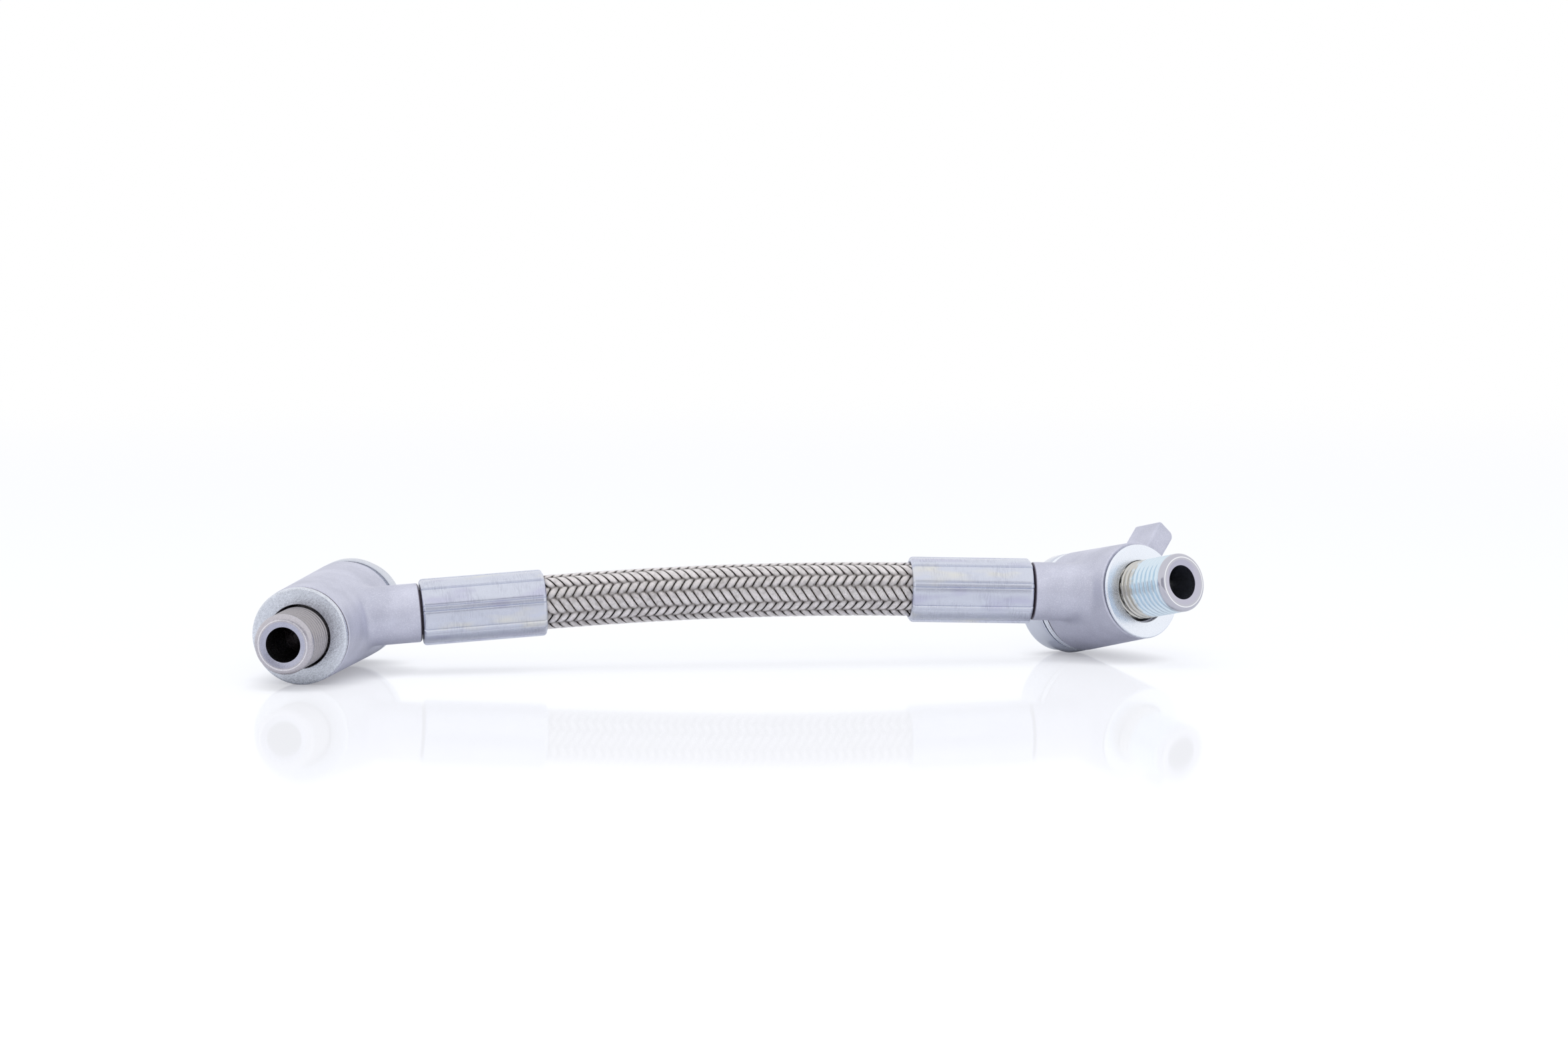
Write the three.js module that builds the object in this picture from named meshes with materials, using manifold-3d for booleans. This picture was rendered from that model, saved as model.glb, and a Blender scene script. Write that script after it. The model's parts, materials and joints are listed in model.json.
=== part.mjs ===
// Compressor oil line: a short steel-braided hose with a crimped ring fitting at each end.
// A hollow bolt with two sealing washers stands loose in the eye of each fitting.
// Units are millimetres and degrees, +Z is up, and the line lies as it comes to rest on a table.
import * as THREE from 'three';
import { mergeVertices } from 'three/addons/utils/BufferGeometryUtils.js';
import Module from 'manifold-3d';

const wasm = await Module();
wasm.setup();

// Clearance kept between pieces that seat on each other
const seatGap = 0.3;

// Hollow bolts
const threadDiameter = 13.9;
const boltBoreDiameter = 8.1;
const boltMouthChamfer = 0.7;
const boltWaistDiameter = 11.6;
const boltWaistLength = 9;
const crossHoleDiameter = 4.4;
const flangeDiameter = 24;
const flangeThickness = 3.2;
const headDiameter = 21.9;
const headHeight = 5;
const headEdge = 0.8;
const socketWidth = 10;
const socketDepth = 5.4;
const socketLeadIn = 0.8;

// Sealing washers
const washerDiameter = 22.6;
const washerBoreDiameter = 14.8;
const washerDrop = 0.35;
const washerEdge = 0.3;
const rearWasherThickness = 1.5;

// Cast ring fittings
const barrelRearDiameter = 24;
const barrelBoreDiameter = 14.8;
const barrelEdge = 0.3;
const chamberDiameter = 17.4;
const chamberLength = 8;
const neckDiameter = 13.9;
const neckReach = 22.5;
const neckRootDiameter = 15;
const neckRootLength = 3;
const neckFlareLength = 4.8;
const neckEdge = 0.5;
const nippleDiameter = 8;
const nippleBoreDiameter = 5;
const nippleTipInset = 3;
const barbDepth = 0.35;
const barbStep = 0.1;
const barbCount = 4;
const collarSeatDiameter = 10;
const collarSeatLength = 3;

// Lug against turning, on the right fitting only
const lugThickness = 5.4;
const lugReach = 21.4;
const lugLength = 9.3;
const lugSetback = 3.8;
const lugCorner = 1.6;
const lugEdge = 0.5;
const lugAngle = -126;
const lugSideStep = -0.7;

// Crimped ferrules
const ferruleLength = 29.2;
const ferruleRidgeDiameter = 15.7;
const ferruleFlatDiameter = 15.2;
const ferruleValleyDiameter = 14.9;
const ferruleRidgeAngle = 11;
const ferruleJaws = 8;
const ferruleBoreDiameter = 13.6;
const ferruleEdge = 0.8;

// Hose: smooth liner inside one braided layer
const linerBoreDiameter = 8.6;
const linerDiameter = 10.6;
const braidBoreDiameter = 11.2;
const braidDiameter = 13;
const braidRelief = 0.55;
const braidZones = 12;
const braidPick = 2.18;
const braidTurn = -10;

// Each end: how far the bolt stands out, the barrel's length, where and how the neck leaves it,
// and how the bolt axis points: azimuth from the front, elevation, and the turn about itself
const leftEnd = {
  boltReach: 14.8,
  boltEndChamfer: 1.2,
  washerThickness: 2,
  rearWasherDiameter: 22.9,
  barrelFrontDiameter: 22.8,
  barrelLength: 35.8,
  neckSetback: 17.1,
  neckLean: 20.3,
  neckSideStep: 0.7,
  azimuth: -10.7,
  elevation: -2.4,
  roll: 2.8,
  ferruleTurn: -13,
  washerSide: 0,
};
const rightEnd = {
  boltReach: 15.9,
  boltEndChamfer: 0.7,
  washerThickness: 0.9,
  rearWasherDiameter: 23.8,
  barrelFrontDiameter: 23.2,
  barrelLength: 21.3,
  neckSetback: 5.6,
  neckLean: 30.2,
  neckSideStep: -0.2,
  azimuth: 37.5,
  elevation: 12,
  roll: 170.9,
  ferruleTurn: 0,
  washerSide: -1,
};

// Distance between the two fittings' front faces, along and across the line
const fittingSpacing = 195.85;
const fittingStagger = 35.95;

// Facets round each kind of turned face
const largeFacets = 32;
const smallFacets = 28;
const hiddenFacets = 20;

const rad = THREE.MathUtils.degToRad;

// Returns a geometry with its shared corners merged and no collapsed triangles.
function weld(geometry) {
  const bare = geometry.clone();
  bare.deleteAttribute('normal');
  bare.deleteAttribute('uv');
  const merged = mergeVertices(bare, 1e-4);
  const index = merged.index.array;
  const kept = [];
  for (let i = 0; i < index.length; i += 3) {
    const [a, b, c] = [index[i], index[i + 1], index[i + 2]];
    if (a !== b && b !== c && c !== a) kept.push(a, b, c);
  }
  merged.setIndex(kept);
  return merged;
}

function toSolid(geometry) {
  const closed = weld(geometry);
  const mesh = new wasm.Mesh({
    numProp: 3,
    vertProperties: new Float32Array(closed.attributes.position.array),
    triVerts: new Uint32Array(closed.index.array),
  });
  return new wasm.Manifold(mesh);
}

function toGeometry(solid) {
  const mesh = solid.getMesh();
  const geometry = new THREE.BufferGeometry();
  geometry.setAttribute('position', new THREE.BufferAttribute(new Float32Array(mesh.vertProperties), 3));
  geometry.setIndex(Array.from(mesh.triVerts));
  return weld(geometry);
}

// Turns a profile of [radius, height] points about Z. The points run anticlockwise.
function revolve(profile, facets) {
  const points = profile.map(([radius, height]) => new THREE.Vector2(radius, height));
  const geometry = new THREE.LatheGeometry(points, facets);
  geometry.rotateX(Math.PI / 2);
  return geometry;
}

// A turned ring between two heights, with a bevel on its outer corners
function ring(outerDiameter, boreDiameter, low, high, bevel, facets) {
  const outer = outerDiameter / 2;
  const bore = boreDiameter / 2;
  return revolve([
    [bore, low],
    [outer - bevel, low],
    [outer, low + bevel],
    [outer, high - bevel],
    [outer - bevel, high],
    [bore, high],
    [bore, low],
  ], facets);
}

// A plain round rod about Z, from one height to another
function rod(diameter, low, high, facets) {
  const geometry = new THREE.CylinderGeometry(diameter / 2, diameter / 2, high - low, facets);
  geometry.rotateX(Math.PI / 2);
  geometry.translate(0, 0, (low + high) / 2);
  return geometry;
}

// Joins rings of equal count into a closed skin; the last ring is joined back to the first.
function loftClosed(rings) {
  const count = rings[0].length;
  const corners = [];
  const index = [];
  rings.forEach((points, row) => {
    const next = (row + 1) % rings.length;
    points.forEach((point, column) => {
      corners.push(point.x, point.y, point.z);
      const after = (column + 1) % count;
      const [a, b] = [row * count + column, row * count + after];
      const [c, d] = [next * count + column, next * count + after];
      index.push(a, b, d, a, d, c);
    });
  });
  const geometry = new THREE.BufferGeometry();
  geometry.setAttribute('position', new THREE.Float32BufferAttribute(corners, 3));
  geometry.setIndex(index);
  return weld(geometry);
}

// Places along the neck's own axis, measured from the bolt axis
const ferruleStart = neckReach + seatGap;
const ferruleEnd = ferruleStart + ferruleLength;
const collarEnd = neckReach + collarSeatLength;
const hoseStart = collarEnd + seatGap;
const nippleEnd = ferruleEnd - nippleTipInset;

// Places along the bolt axis, measured from the barrel's front face
function stations(end) {
  const washerFront = seatGap + end.washerThickness;
  const barrelRear = -end.barrelLength;
  const rearWasherFront = barrelRear - seatGap;
  const rearWasherRear = rearWasherFront - rearWasherThickness;
  const flangeFront = rearWasherRear - seatGap;
  const flangeRear = flangeFront - flangeThickness;
  const headRear = flangeRear - headHeight;
  const lean = rad(end.neckLean);
  const chamber = -end.neckSetback - Math.tan(lean) * barrelBoreDiameter / 2;
  return {
    washerFront, barrelRear, rearWasherFront, rearWasherRear, flangeFront, flangeRear, headRear, chamber,
  };
}

// Turns a shape made about Z so that it follows the neck's axis.
function alongNeck(geometry, end) {
  geometry.rotateY(Math.PI / 2 + rad(end.neckLean));
  geometry.translate(0, end.neckSideStep, -end.neckSetback);
  return geometry;
}

// The neck with its flared root, the ferrule's seat and the barbed nipple inside the hose
function neckSolid(end) {
  const neck = neckDiameter / 2;
  const seat = collarSeatDiameter / 2;
  const crest = nippleDiameter / 2;
  const barrel = barrelRearDiameter / 2;
  const rootStart = barrelBoreDiameter / 2;
  const rootEnd = barrel / Math.cos(rad(end.neckLean)) + neckRootLength;
  const profile = [
    [0, rootStart],
    [neckRootDiameter / 2, rootStart],
    [neckRootDiameter / 2, rootEnd - neckFlareLength],
    [(neckRootDiameter / 2 + 2 * neck) / 3, rootEnd - neckRootLength / 2],
    [neck, rootEnd],
    [neck, neckReach - neckEdge],
    [neck - neckEdge, neckReach],
    [seat, neckReach],
    [seat, collarEnd],
    [crest, collarEnd],
  ];
  const barbed = nippleEnd - hoseStart;
  const pitch = barbed / (barbCount + 1);
  for (let i = 1; i <= barbCount; i += 1) {
    const place = hoseStart + i * pitch;
    profile.push([crest, place]);
    profile.push([crest - barbDepth, place + barbStep]);
  }
  profile.push([crest - barbDepth, nippleEnd], [0, nippleEnd]);
  return toSolid(alongNeck(revolve(profile, smallFacets), end));
}

// A flat tab that stands out of the barrel, rounded on its far corner
function lugSolid() {
  const half = lugThickness / 2;
  const shape = new THREE.Shape();
  const root = (barrelBoreDiameter + barrelRearDiameter) / 4;
  shape.moveTo(root, -half);
  shape.lineTo(lugReach - lugCorner, -half);
  shape.absarc(lugReach - lugCorner, lugCorner - half, lugCorner, -Math.PI / 2, 0, false);
  shape.lineTo(lugReach, half - lugEdge);
  shape.lineTo(lugReach - lugEdge, half);
  shape.lineTo(root, half);
  const tab = new THREE.ExtrudeGeometry(shape, { depth: lugLength, bevelEnabled: false, curveSegments: 6 });
  tab.translate(0, lugSideStep, -lugSetback - lugLength);
  tab.rotateZ(rad(lugAngle));
  return toSolid(tab);
}

function ringFitting(end, hasLug) {
  const { barrelRear, chamber } = stations(end);
  const front = end.barrelFrontDiameter / 2;
  const rear = barrelRearDiameter / 2;
  const barrel = revolve([
    [0, barrelRear],
    [rear - barrelEdge, barrelRear],
    [rear, barrelRear + barrelEdge],
    [front, -barrelEdge],
    [front - barrelEdge, 0],
    [0, 0],
  ], largeFacets);
  let body = toSolid(barrel).add(neckSolid(end));
  if (hasLug) body = body.add(lugSolid());
  const bore = rod(barrelBoreDiameter, barrelRear - 1, 1, smallFacets);
  const low = chamber - chamberLength / 2;
  const high = chamber + chamberLength / 2;
  const room = revolve([
    [0, low - 1],
    [barrelBoreDiameter / 2, low - 1],
    [chamberDiameter / 2, low],
    [chamberDiameter / 2, high],
    [barrelBoreDiameter / 2, high + 1],
    [0, high + 1],
  ], smallFacets);
  const passage = alongNeck(rod(nippleBoreDiameter, 0, nippleEnd + 1, hiddenFacets), end);
  body = body.subtract(toSolid(bore)).subtract(toSolid(room)).subtract(toSolid(passage));
  return toGeometry(body);
}

function hollowBolt(end) {
  const { flangeFront, flangeRear, headRear, chamber } = stations(end);
  const thread = threadDiameter / 2;
  const waist = boltWaistDiameter / 2;
  const flange = flangeDiameter / 2;
  const head = headDiameter / 2;
  const waistLow = chamber - boltWaistLength / 2;
  const waistHigh = chamber + boltWaistLength / 2;
  const waistSlope = thread - waist;
  const boltEnd = end.boltReach;
  const body = revolve([
    [0, headRear],
    [head - headEdge, headRear],
    [head, headRear + headEdge],
    [head, flangeRear],
    [flange, flangeRear],
    [flange, flangeFront - headEdge / 2],
    [flange - headEdge / 2, flangeFront],
    [thread, flangeFront],
    [thread, waistLow - waistSlope],
    [waist, waistLow],
    [waist, waistHigh],
    [thread, waistHigh + waistSlope],
    [thread, boltEnd - end.boltEndChamfer],
    [thread - end.boltEndChamfer, boltEnd],
    [0, boltEnd],
  ], largeFacets);
  const bore = boltBoreDiameter / 2;
  const boreEnd = chamber - crossHoleDiameter;
  const drilled = revolve([
    [0, boreEnd - bore / 2],
    [bore, boreEnd],
    [bore, boltEnd - boltMouthChamfer],
    [bore + 2 * boltMouthChamfer, boltEnd + boltMouthChamfer],
    [0, boltEnd + boltMouthChamfer],
  ], smallFacets);
  let solid = toSolid(body).subtract(toSolid(drilled));
  const crossHole = rod(crossHoleDiameter, -thread, thread, hiddenFacets / 2);
  crossHole.rotateX(Math.PI / 2);
  for (const turn of [0, 90]) {
    const hole = crossHole.clone();
    hole.rotateZ(rad(turn));
    hole.translate(0, 0, chamber);
    solid = solid.subtract(toSolid(hole));
  }
  const hexRadius = socketWidth / 2 / Math.cos(Math.PI / 6);
  const socket = new THREE.CylinderGeometry(hexRadius, hexRadius, socketDepth + 1, 6);
  socket.rotateX(Math.PI / 2);
  socket.translate(0, 0, headRear + (socketDepth - 1) / 2);
  const lead = revolve([
    [0, headRear - 1],
    [hexRadius + 1, headRear - 1],
    [hexRadius, headRear],
    [hexRadius - socketLeadIn, headRear + socketLeadIn],
    [0, headRear + socketLeadIn],
  ], hiddenFacets);
  return toGeometry(solid.subtract(toSolid(socket)).subtract(toSolid(lead)));
}

// A washer that hangs or stands off the bolt's centre by its clearance
function frontWasher(end) {
  const { washerFront } = stations(end);
  const geometry = ring(washerDiameter, washerBoreDiameter, seatGap, washerFront, washerEdge, largeFacets);
  geometry.translate(0, end.washerSide * washerDrop, 0);
  return weld(geometry);
}

function rearWasher(end) {
  const { rearWasherFront, rearWasherRear } = stations(end);
  const bevel = rearWasherThickness / 6;
  return weld(ring(
    end.rearWasherDiameter, washerBoreDiameter, rearWasherRear, rearWasherFront, bevel, largeFacets,
  ));
}

// One turn of a ferrule's section: broad jaw faces with a narrow raised ridge between them
function ferruleSection(scale) {
  const jaw = 360 / ferruleJaws;
  const edge = ferruleRidgeAngle / 2;
  const points = [];
  const add = (angle, diameter) => {
    const radius = scale * diameter / 2;
    points.push(new THREE.Vector2(radius * Math.cos(rad(angle)), radius * Math.sin(rad(angle))));
  };
  for (let i = 0; i < ferruleJaws; i += 1) {
    const centre = i * jaw;
    add(centre - edge, ferruleValleyDiameter);
    add(centre - edge / 2, ferruleRidgeDiameter);
    add(centre + edge / 2, ferruleRidgeDiameter);
    add(centre + edge, ferruleValleyDiameter);
    add(centre + jaw / 2, ferruleFlatDiameter);
  }
  return points;
}

function crimpFerrule(end) {
  const outer = ferruleSection(1);
  const shrink = 1 - 2 * ferruleEdge / ferruleFlatDiameter;
  const tip = ferruleSection(shrink);
  const round = (diameter) => outer.map((point) => point.clone().setLength(diameter / 2));
  const collarBore = collarSeatDiameter + 2 * seatGap;
  const at = (section, height) => section.map((point) => new THREE.Vector3(point.x, point.y, height));
  const rings = [
    at(tip, ferruleStart),
    at(outer, ferruleStart + ferruleEdge),
    at(outer, ferruleEnd - ferruleEdge),
    at(tip, ferruleEnd),
    at(round(ferruleBoreDiameter), ferruleEnd),
    at(round(ferruleBoreDiameter), collarEnd),
    at(round(collarBore), collarEnd - seatGap),
    at(round(collarBore), ferruleStart),
  ];
  const geometry = loftClosed(rings);
  geometry.rotateZ(rad(end.ferruleTurn));
  return alongNeck(geometry, end);
}

// Stands a fitting group in the room: its local Z is the bolt axis, which points to the front.
function fittingPose(end, x, y, contactRadius, contactPlace) {
  const az = rad(end.azimuth);
  const el = rad(end.elevation);
  const bolt = new THREE.Vector3(Math.sin(az) * Math.cos(el), -Math.cos(az) * Math.cos(el), Math.sin(el));
  const across = new THREE.Vector3(Math.cos(az), Math.sin(az), 0);
  const up = new THREE.Vector3().crossVectors(bolt, across);
  const pose = new THREE.Matrix4().makeBasis(across, up, bolt);
  const height = contactRadius * Math.cos(el) - contactPlace * Math.sin(el);
  pose.setPosition(x, y, height);
  return pose;
}

const left = stations(leftEnd);
const right = stations(rightEnd);
const leftContact = washerDiameter / 2 - leftEnd.washerSide * washerDrop;
const leftPose = fittingPose(leftEnd, 0, 0, leftContact, left.washerFront);
const rightPose = fittingPose(rightEnd, fittingSpacing, fittingStagger, flangeDiameter / 2, right.flangeRear);

// The neck's axis in the room: a point at a distance along it, and its direction
function neckLine(end, pose) {
  const turn = new THREE.Matrix4().makeRotationZ(rad(end.roll));
  const lean = rad(end.neckLean);
  const direction = new THREE.Vector3(Math.cos(lean), 0, -Math.sin(lean));
  const root = new THREE.Vector3(0, end.neckSideStep, -end.neckSetback);
  direction.applyMatrix4(turn).transformDirection(pose);
  root.applyMatrix4(turn).applyMatrix4(pose);
  return { direction, at: (distance) => root.clone().addScaledVector(direction, distance) };
}

const leftNeck = neckLine(leftEnd, leftPose);
const rightNeck = neckLine(rightEnd, rightPose);

// The hose runs straight inside each ferrule and on one smooth curve between them.
const mouths = [leftNeck.at(ferruleEnd), rightNeck.at(ferruleEnd)];
const pull = mouths[0].distanceTo(mouths[1]) / 3;
const route = new THREE.CurvePath();
route.add(new THREE.LineCurve3(leftNeck.at(hoseStart), mouths[0]));
route.add(new THREE.CubicBezierCurve3(
  mouths[0],
  leftNeck.at(ferruleEnd + pull),
  rightNeck.at(ferruleEnd + pull),
  mouths[1],
));
route.add(new THREE.LineCurve3(mouths[1], rightNeck.at(hoseStart)));
const routeLength = route.getLength();

// A ring of points round the route, at a distance along it and a radius for each column
function routeRing(distanceOf, radiusOf, columns) {
  const points = [];
  for (let column = 0; column < columns; column += 1) {
    const share = THREE.MathUtils.clamp(distanceOf(column) / routeLength, 0, 1);
    const centre = route.getPointAt(share);
    const tangent = route.getTangentAt(share);
    const side = new THREE.Vector3().crossVectors(tangent, new THREE.Vector3(0, 0, 1)).normalize();
    const top = new THREE.Vector3().crossVectors(side, tangent);
    const angle = 2 * Math.PI * column / columns + rad(braidTurn);
    const radius = radiusOf(column);
    centre.addScaledVector(side, -radius * Math.cos(angle));
    centre.addScaledVector(top, radius * Math.sin(angle));
    points.push(centre);
  }
  return points;
}

function hoseLiner() {
  const section = new THREE.Shape();
  section.absarc(0, 0, linerDiameter / 2, 0, 2 * Math.PI, false);
  const hole = new THREE.Path();
  hole.absarc(0, 0, linerBoreDiameter / 2, 0, 2 * Math.PI, true);
  section.holes.push(hole);
  const steps = Math.round(routeLength / linerDiameter);
  const geometry = new THREE.ExtrudeGeometry(section, { steps, curveSegments: 8, extrudePath: route });
  return weld(geometry);
}

// The braid: in each zone round the hose the strands of one hand lie on top, two over two.
// Rows of points zigzag with the strands, so that ridge and groove lines follow them.
function braidSleeve() {
  const columns = 2 * braidZones;
  const crest = braidDiameter / 2;
  const groove = crest - braidRelief;
  const shoulder = crest - braidRelief / 2;
  const step = braidPick / 2;
  const inFerrule = ferruleEnd - hoseStart;
  const woven = routeLength - 2 * inFerrule + 2 * braidPick;
  const rows = Math.ceil(woven / step);
  const zigzag = (column) => step * (2 - Math.abs(2 - (column % 4)));
  const rings = [];
  const plain = (distance, radius) => {
    rings.push(routeRing(() => distance, () => radius, columns));
  };
  plain(0, shoulder);
  for (let row = 0; row <= rows; row += 1) {
    const start = inFerrule - braidPick + row * step - step;
    const radiusOf = (column) => {
      if (column % 2 === 0) return shoulder;
      const zone = (column - 1) / 2;
      return (row + zone) % 2 === 0 ? crest : groove;
    };
    rings.push(routeRing((column) => start + zigzag(column), radiusOf, columns));
  }
  plain(routeLength, shoulder);
  const innerSteps = Math.round(routeLength / braidDiameter);
  for (let i = innerSteps; i >= 0; i -= 1) {
    plain(routeLength * i / innerSteps, braidBoreDiameter / 2);
  }
  return loftClosed(rings);
}

const finishes = {
  cast: { color: 0xa8a6b0, roughness: 0.6, metalness: 0.7 },
  crimped: { color: 0xb2b4bf, roughness: 0.35, metalness: 0.85 },
  braided: { color: 0xaaa49d, roughness: 0.35, metalness: 0.9 },
  greyBolt: { color: 0x9d9994, roughness: 0.4, metalness: 0.85 },
  blueBolt: { color: 0xb4c2ca, roughness: 0.35, metalness: 0.85 },
  washer: { color: 0xc3c8cf, roughness: 0.4, metalness: 0.9 },
  rubber: { color: 0x29292b, roughness: 0.8, metalness: 0 },
};

function piece(name, geometry, finish) {
  const mesh = new THREE.Mesh(geometry, new THREE.MeshStandardMaterial(finishes[finish]));
  mesh.name = name;
  return mesh;
}

// One fitting with its bolt, washers and ferrule, in its own frame
function endGroup(side, end, pose, hasLug, boltFinish) {
  const stand = new THREE.Group();
  stand.applyMatrix4(pose);
  const turned = new THREE.Group();
  turned.rotation.z = rad(end.roll);
  turned.add(piece(`ring_fitting_${side}`, ringFitting(end, hasLug), 'cast'));
  turned.add(piece(`ferrule_${side}`, crimpFerrule(end), 'crimped'));
  stand.add(turned);
  stand.add(piece(`hollow_bolt_${side}`, hollowBolt(end), boltFinish));
  stand.add(piece(`front_washer_${side}`, frontWasher(end), 'washer'));
  stand.add(piece(`rear_washer_${side}`, rearWasher(end), 'washer'));
  return stand;
}

const oilLine = new THREE.Group();
oilLine.add(endGroup('left', leftEnd, leftPose, false, 'greyBolt'));
oilLine.add(endGroup('right', rightEnd, rightPose, true, 'blueBolt'));
oilLine.add(piece('hose_liner', hoseLiner(), 'rubber'));
oilLine.add(piece('braid_sleeve', braidSleeve(), 'braided'));

// The origin is the middle of the line's box, on the table
oilLine.updateMatrixWorld(true);
const bounds = new THREE.Box3().setFromObject(oilLine, true);
const middle = bounds.getCenter(new THREE.Vector3());
oilLine.position.set(-middle.x, -middle.y, -bounds.min.z);

export default oilLine;
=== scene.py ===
"""Dresses the compressor oil line: a braided hose with a ring fitting and a hollow bolt at each end.

Sizes are in millimetres and angles in degrees, in the same frame as the solids. A mesh is turned to
metres when it takes its place. Each end has its own local frame: the origin lies on the bolt axis at the
barrel's front face and Z points the way the thread points.
"""
from __future__ import annotations

import json
import logging
import math
from dataclasses import dataclass, field
from enum import Enum

import bpy
import numpy as np
from mathutils import Matrix, Vector


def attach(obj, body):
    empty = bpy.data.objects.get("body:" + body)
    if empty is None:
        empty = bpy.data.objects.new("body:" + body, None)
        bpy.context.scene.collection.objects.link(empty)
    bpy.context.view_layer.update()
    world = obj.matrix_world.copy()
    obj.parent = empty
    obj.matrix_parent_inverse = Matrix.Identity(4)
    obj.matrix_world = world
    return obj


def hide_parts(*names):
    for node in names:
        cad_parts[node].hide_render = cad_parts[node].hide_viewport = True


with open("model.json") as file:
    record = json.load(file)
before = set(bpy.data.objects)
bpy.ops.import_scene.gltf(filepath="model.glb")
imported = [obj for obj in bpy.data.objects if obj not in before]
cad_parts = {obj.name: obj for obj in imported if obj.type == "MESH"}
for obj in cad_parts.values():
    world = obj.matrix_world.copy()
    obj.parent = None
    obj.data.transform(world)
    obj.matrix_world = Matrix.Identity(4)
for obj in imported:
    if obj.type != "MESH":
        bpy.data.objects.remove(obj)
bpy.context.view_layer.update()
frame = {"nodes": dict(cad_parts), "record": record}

log = logging.getLogger("oil_line")

MM = 0.001
FULL_TURN = 2 * math.pi
SEAT_GAP = 0.3
LEVEL = "level"

Points = np.ndarray
Profile = list[tuple[float, float]]
Faces = list[tuple[int, ...]]
Tone = tuple[float, float, float]
Place = tuple[float, float, float]


class Side(Enum):
    """The two ends of the line, as the solids' names give them."""

    LEFT = "left"
    RIGHT = "right"


class Work(Enum):
    """What a tool solid does to a piece."""

    CUT = "DIFFERENCE"
    JOIN = "UNION"


class Hand(Enum):
    """Which way a set of braid strands winds round the hose."""

    RIGHT = 1
    LEFT = -1


# Profiles and meshes


@dataclass(frozen=True)
class Corner:
    """One corner of a turned profile.

    Attributes:
        radius: Distance from the axis.
        height: Place along the axis.
        round: Radius of the corner's rounding.
    """

    radius: float
    height: float
    round: float = 0.0


def rounded(corners: list[Corner], closed: bool, steps: int = 5) -> Profile:
    """Rounds the corners of a turned profile.

    Args:
        corners: The profile's corners in order.
        closed: Whether the last corner joins the first.
        steps: Segments in each rounding.

    Returns:
        The profile's points as (radius, height) pairs.
    """
    points: Profile = []
    count = len(corners)
    for i, corner in enumerate(corners):
        here = Vector((corner.radius, corner.height))
        at_end = not closed and i in (0, count - 1)
        if corner.round <= 0 or at_end:
            points.append((here.x, here.y))
            continue
        before = corners[i - 1]
        after = corners[(i + 1) % count]
        back = Vector((before.radius, before.height)) - here
        onward = Vector((after.radius, after.height)) - here
        half = back.angle(onward) / 2
        shares = [0.48 if other.round > 0 else 0.95 for other in (before, after)]
        reach = min(corner.round / math.tan(half), shares[0] * back.length, shares[1] * onward.length)
        radius = reach * math.tan(half)
        back.normalize()
        onward.normalize()
        centre = here + (back + onward).normalized() * (radius / math.sin(half))
        start = here + back * reach - centre
        sweep = math.pi - 2 * half
        turn = math.copysign(sweep, start.x * (here + onward * reach - centre).y
                             - start.y * (here + onward * reach - centre).x)
        for k in range(steps + 1):
            angle = turn * k / steps
            x = start.x * math.cos(angle) - start.y * math.sin(angle)
            y = start.x * math.sin(angle) + start.y * math.cos(angle)
            points.append((centre.x + x, centre.y + y))
    return points


def band(rows: int, around: int, closed: bool) -> Faces:
    """Returns the faces between rows of corners, where a closed band joins its last row to its first."""
    faces: Faces = []
    for row in range(rows if closed else rows - 1):
        low = row * around
        high = ((row + 1) % rows) * around
        for k in range(around):
            after = (k + 1) % around
            faces.append((low + k, low + after, high + after, high + k))
    return faces


def turned(profile: Profile, segments: int, closed: bool) -> tuple[Points, Faces]:
    """Turns a profile about Z into a closed skin.

    Args:
        profile: Points that run anticlockwise in the (radius, height) plane.
        segments: Facets round the axis.
        closed: Whether the profile closes on itself. If not, it starts and ends on the axis.

    Returns:
        The corners and the faces.
    """
    angles = np.arange(segments) * FULL_TURN / segments
    ring = np.stack([np.cos(angles), np.sin(angles)], 1)
    inner = profile if closed else profile[1:-1]
    corners = [np.column_stack([ring * radius, np.full(segments, height)]) for radius, height in inner]
    rows = len(inner)
    faces = band(rows, segments, closed)
    if not closed:
        first = rows * segments
        corners.append(np.array([[0.0, 0.0, profile[0][1]], [0.0, 0.0, profile[-1][1]]]))
        last = (rows - 1) * segments
        for k in range(segments):
            after = (k + 1) % segments
            faces.append((first, after, k))
            faces.append((first + 1, last + k, last + after))
    return np.concatenate(corners), faces


def make_object(name: str, corners: Points, faces: Faces) -> bpy.types.Object:
    """Makes a mesh object from corners and faces and links it to the scene."""
    mesh = bpy.data.meshes.new(name)
    mesh.from_pydata(corners.tolist(), [], faces)
    mesh.validate()
    mesh.update()
    piece = bpy.data.objects.new(name, mesh)
    bpy.context.scene.collection.objects.link(piece)
    return piece


def corners_of(piece: bpy.types.Object) -> Points:
    """Returns a mesh's corners as an array."""
    flat = np.empty(3 * len(piece.data.vertices), np.float32)
    piece.data.vertices.foreach_get("co", flat)
    return flat.reshape(-1, 3).astype(float)


def set_corners(piece: bpy.types.Object, corners: Points) -> None:
    """Moves a mesh's corners to the given places."""
    piece.data.vertices.foreach_set("co", corners.astype(np.float32).ravel())
    piece.data.update()


def apply_modifiers(piece: bpy.types.Object) -> None:
    """Turns a piece's modifiers into plain mesh and takes them off."""
    graph = bpy.context.evaluated_depsgraph_get()
    mesh = bpy.data.meshes.new_from_object(piece.evaluated_get(graph))
    piece.modifiers.clear()
    piece.data = mesh


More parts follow.
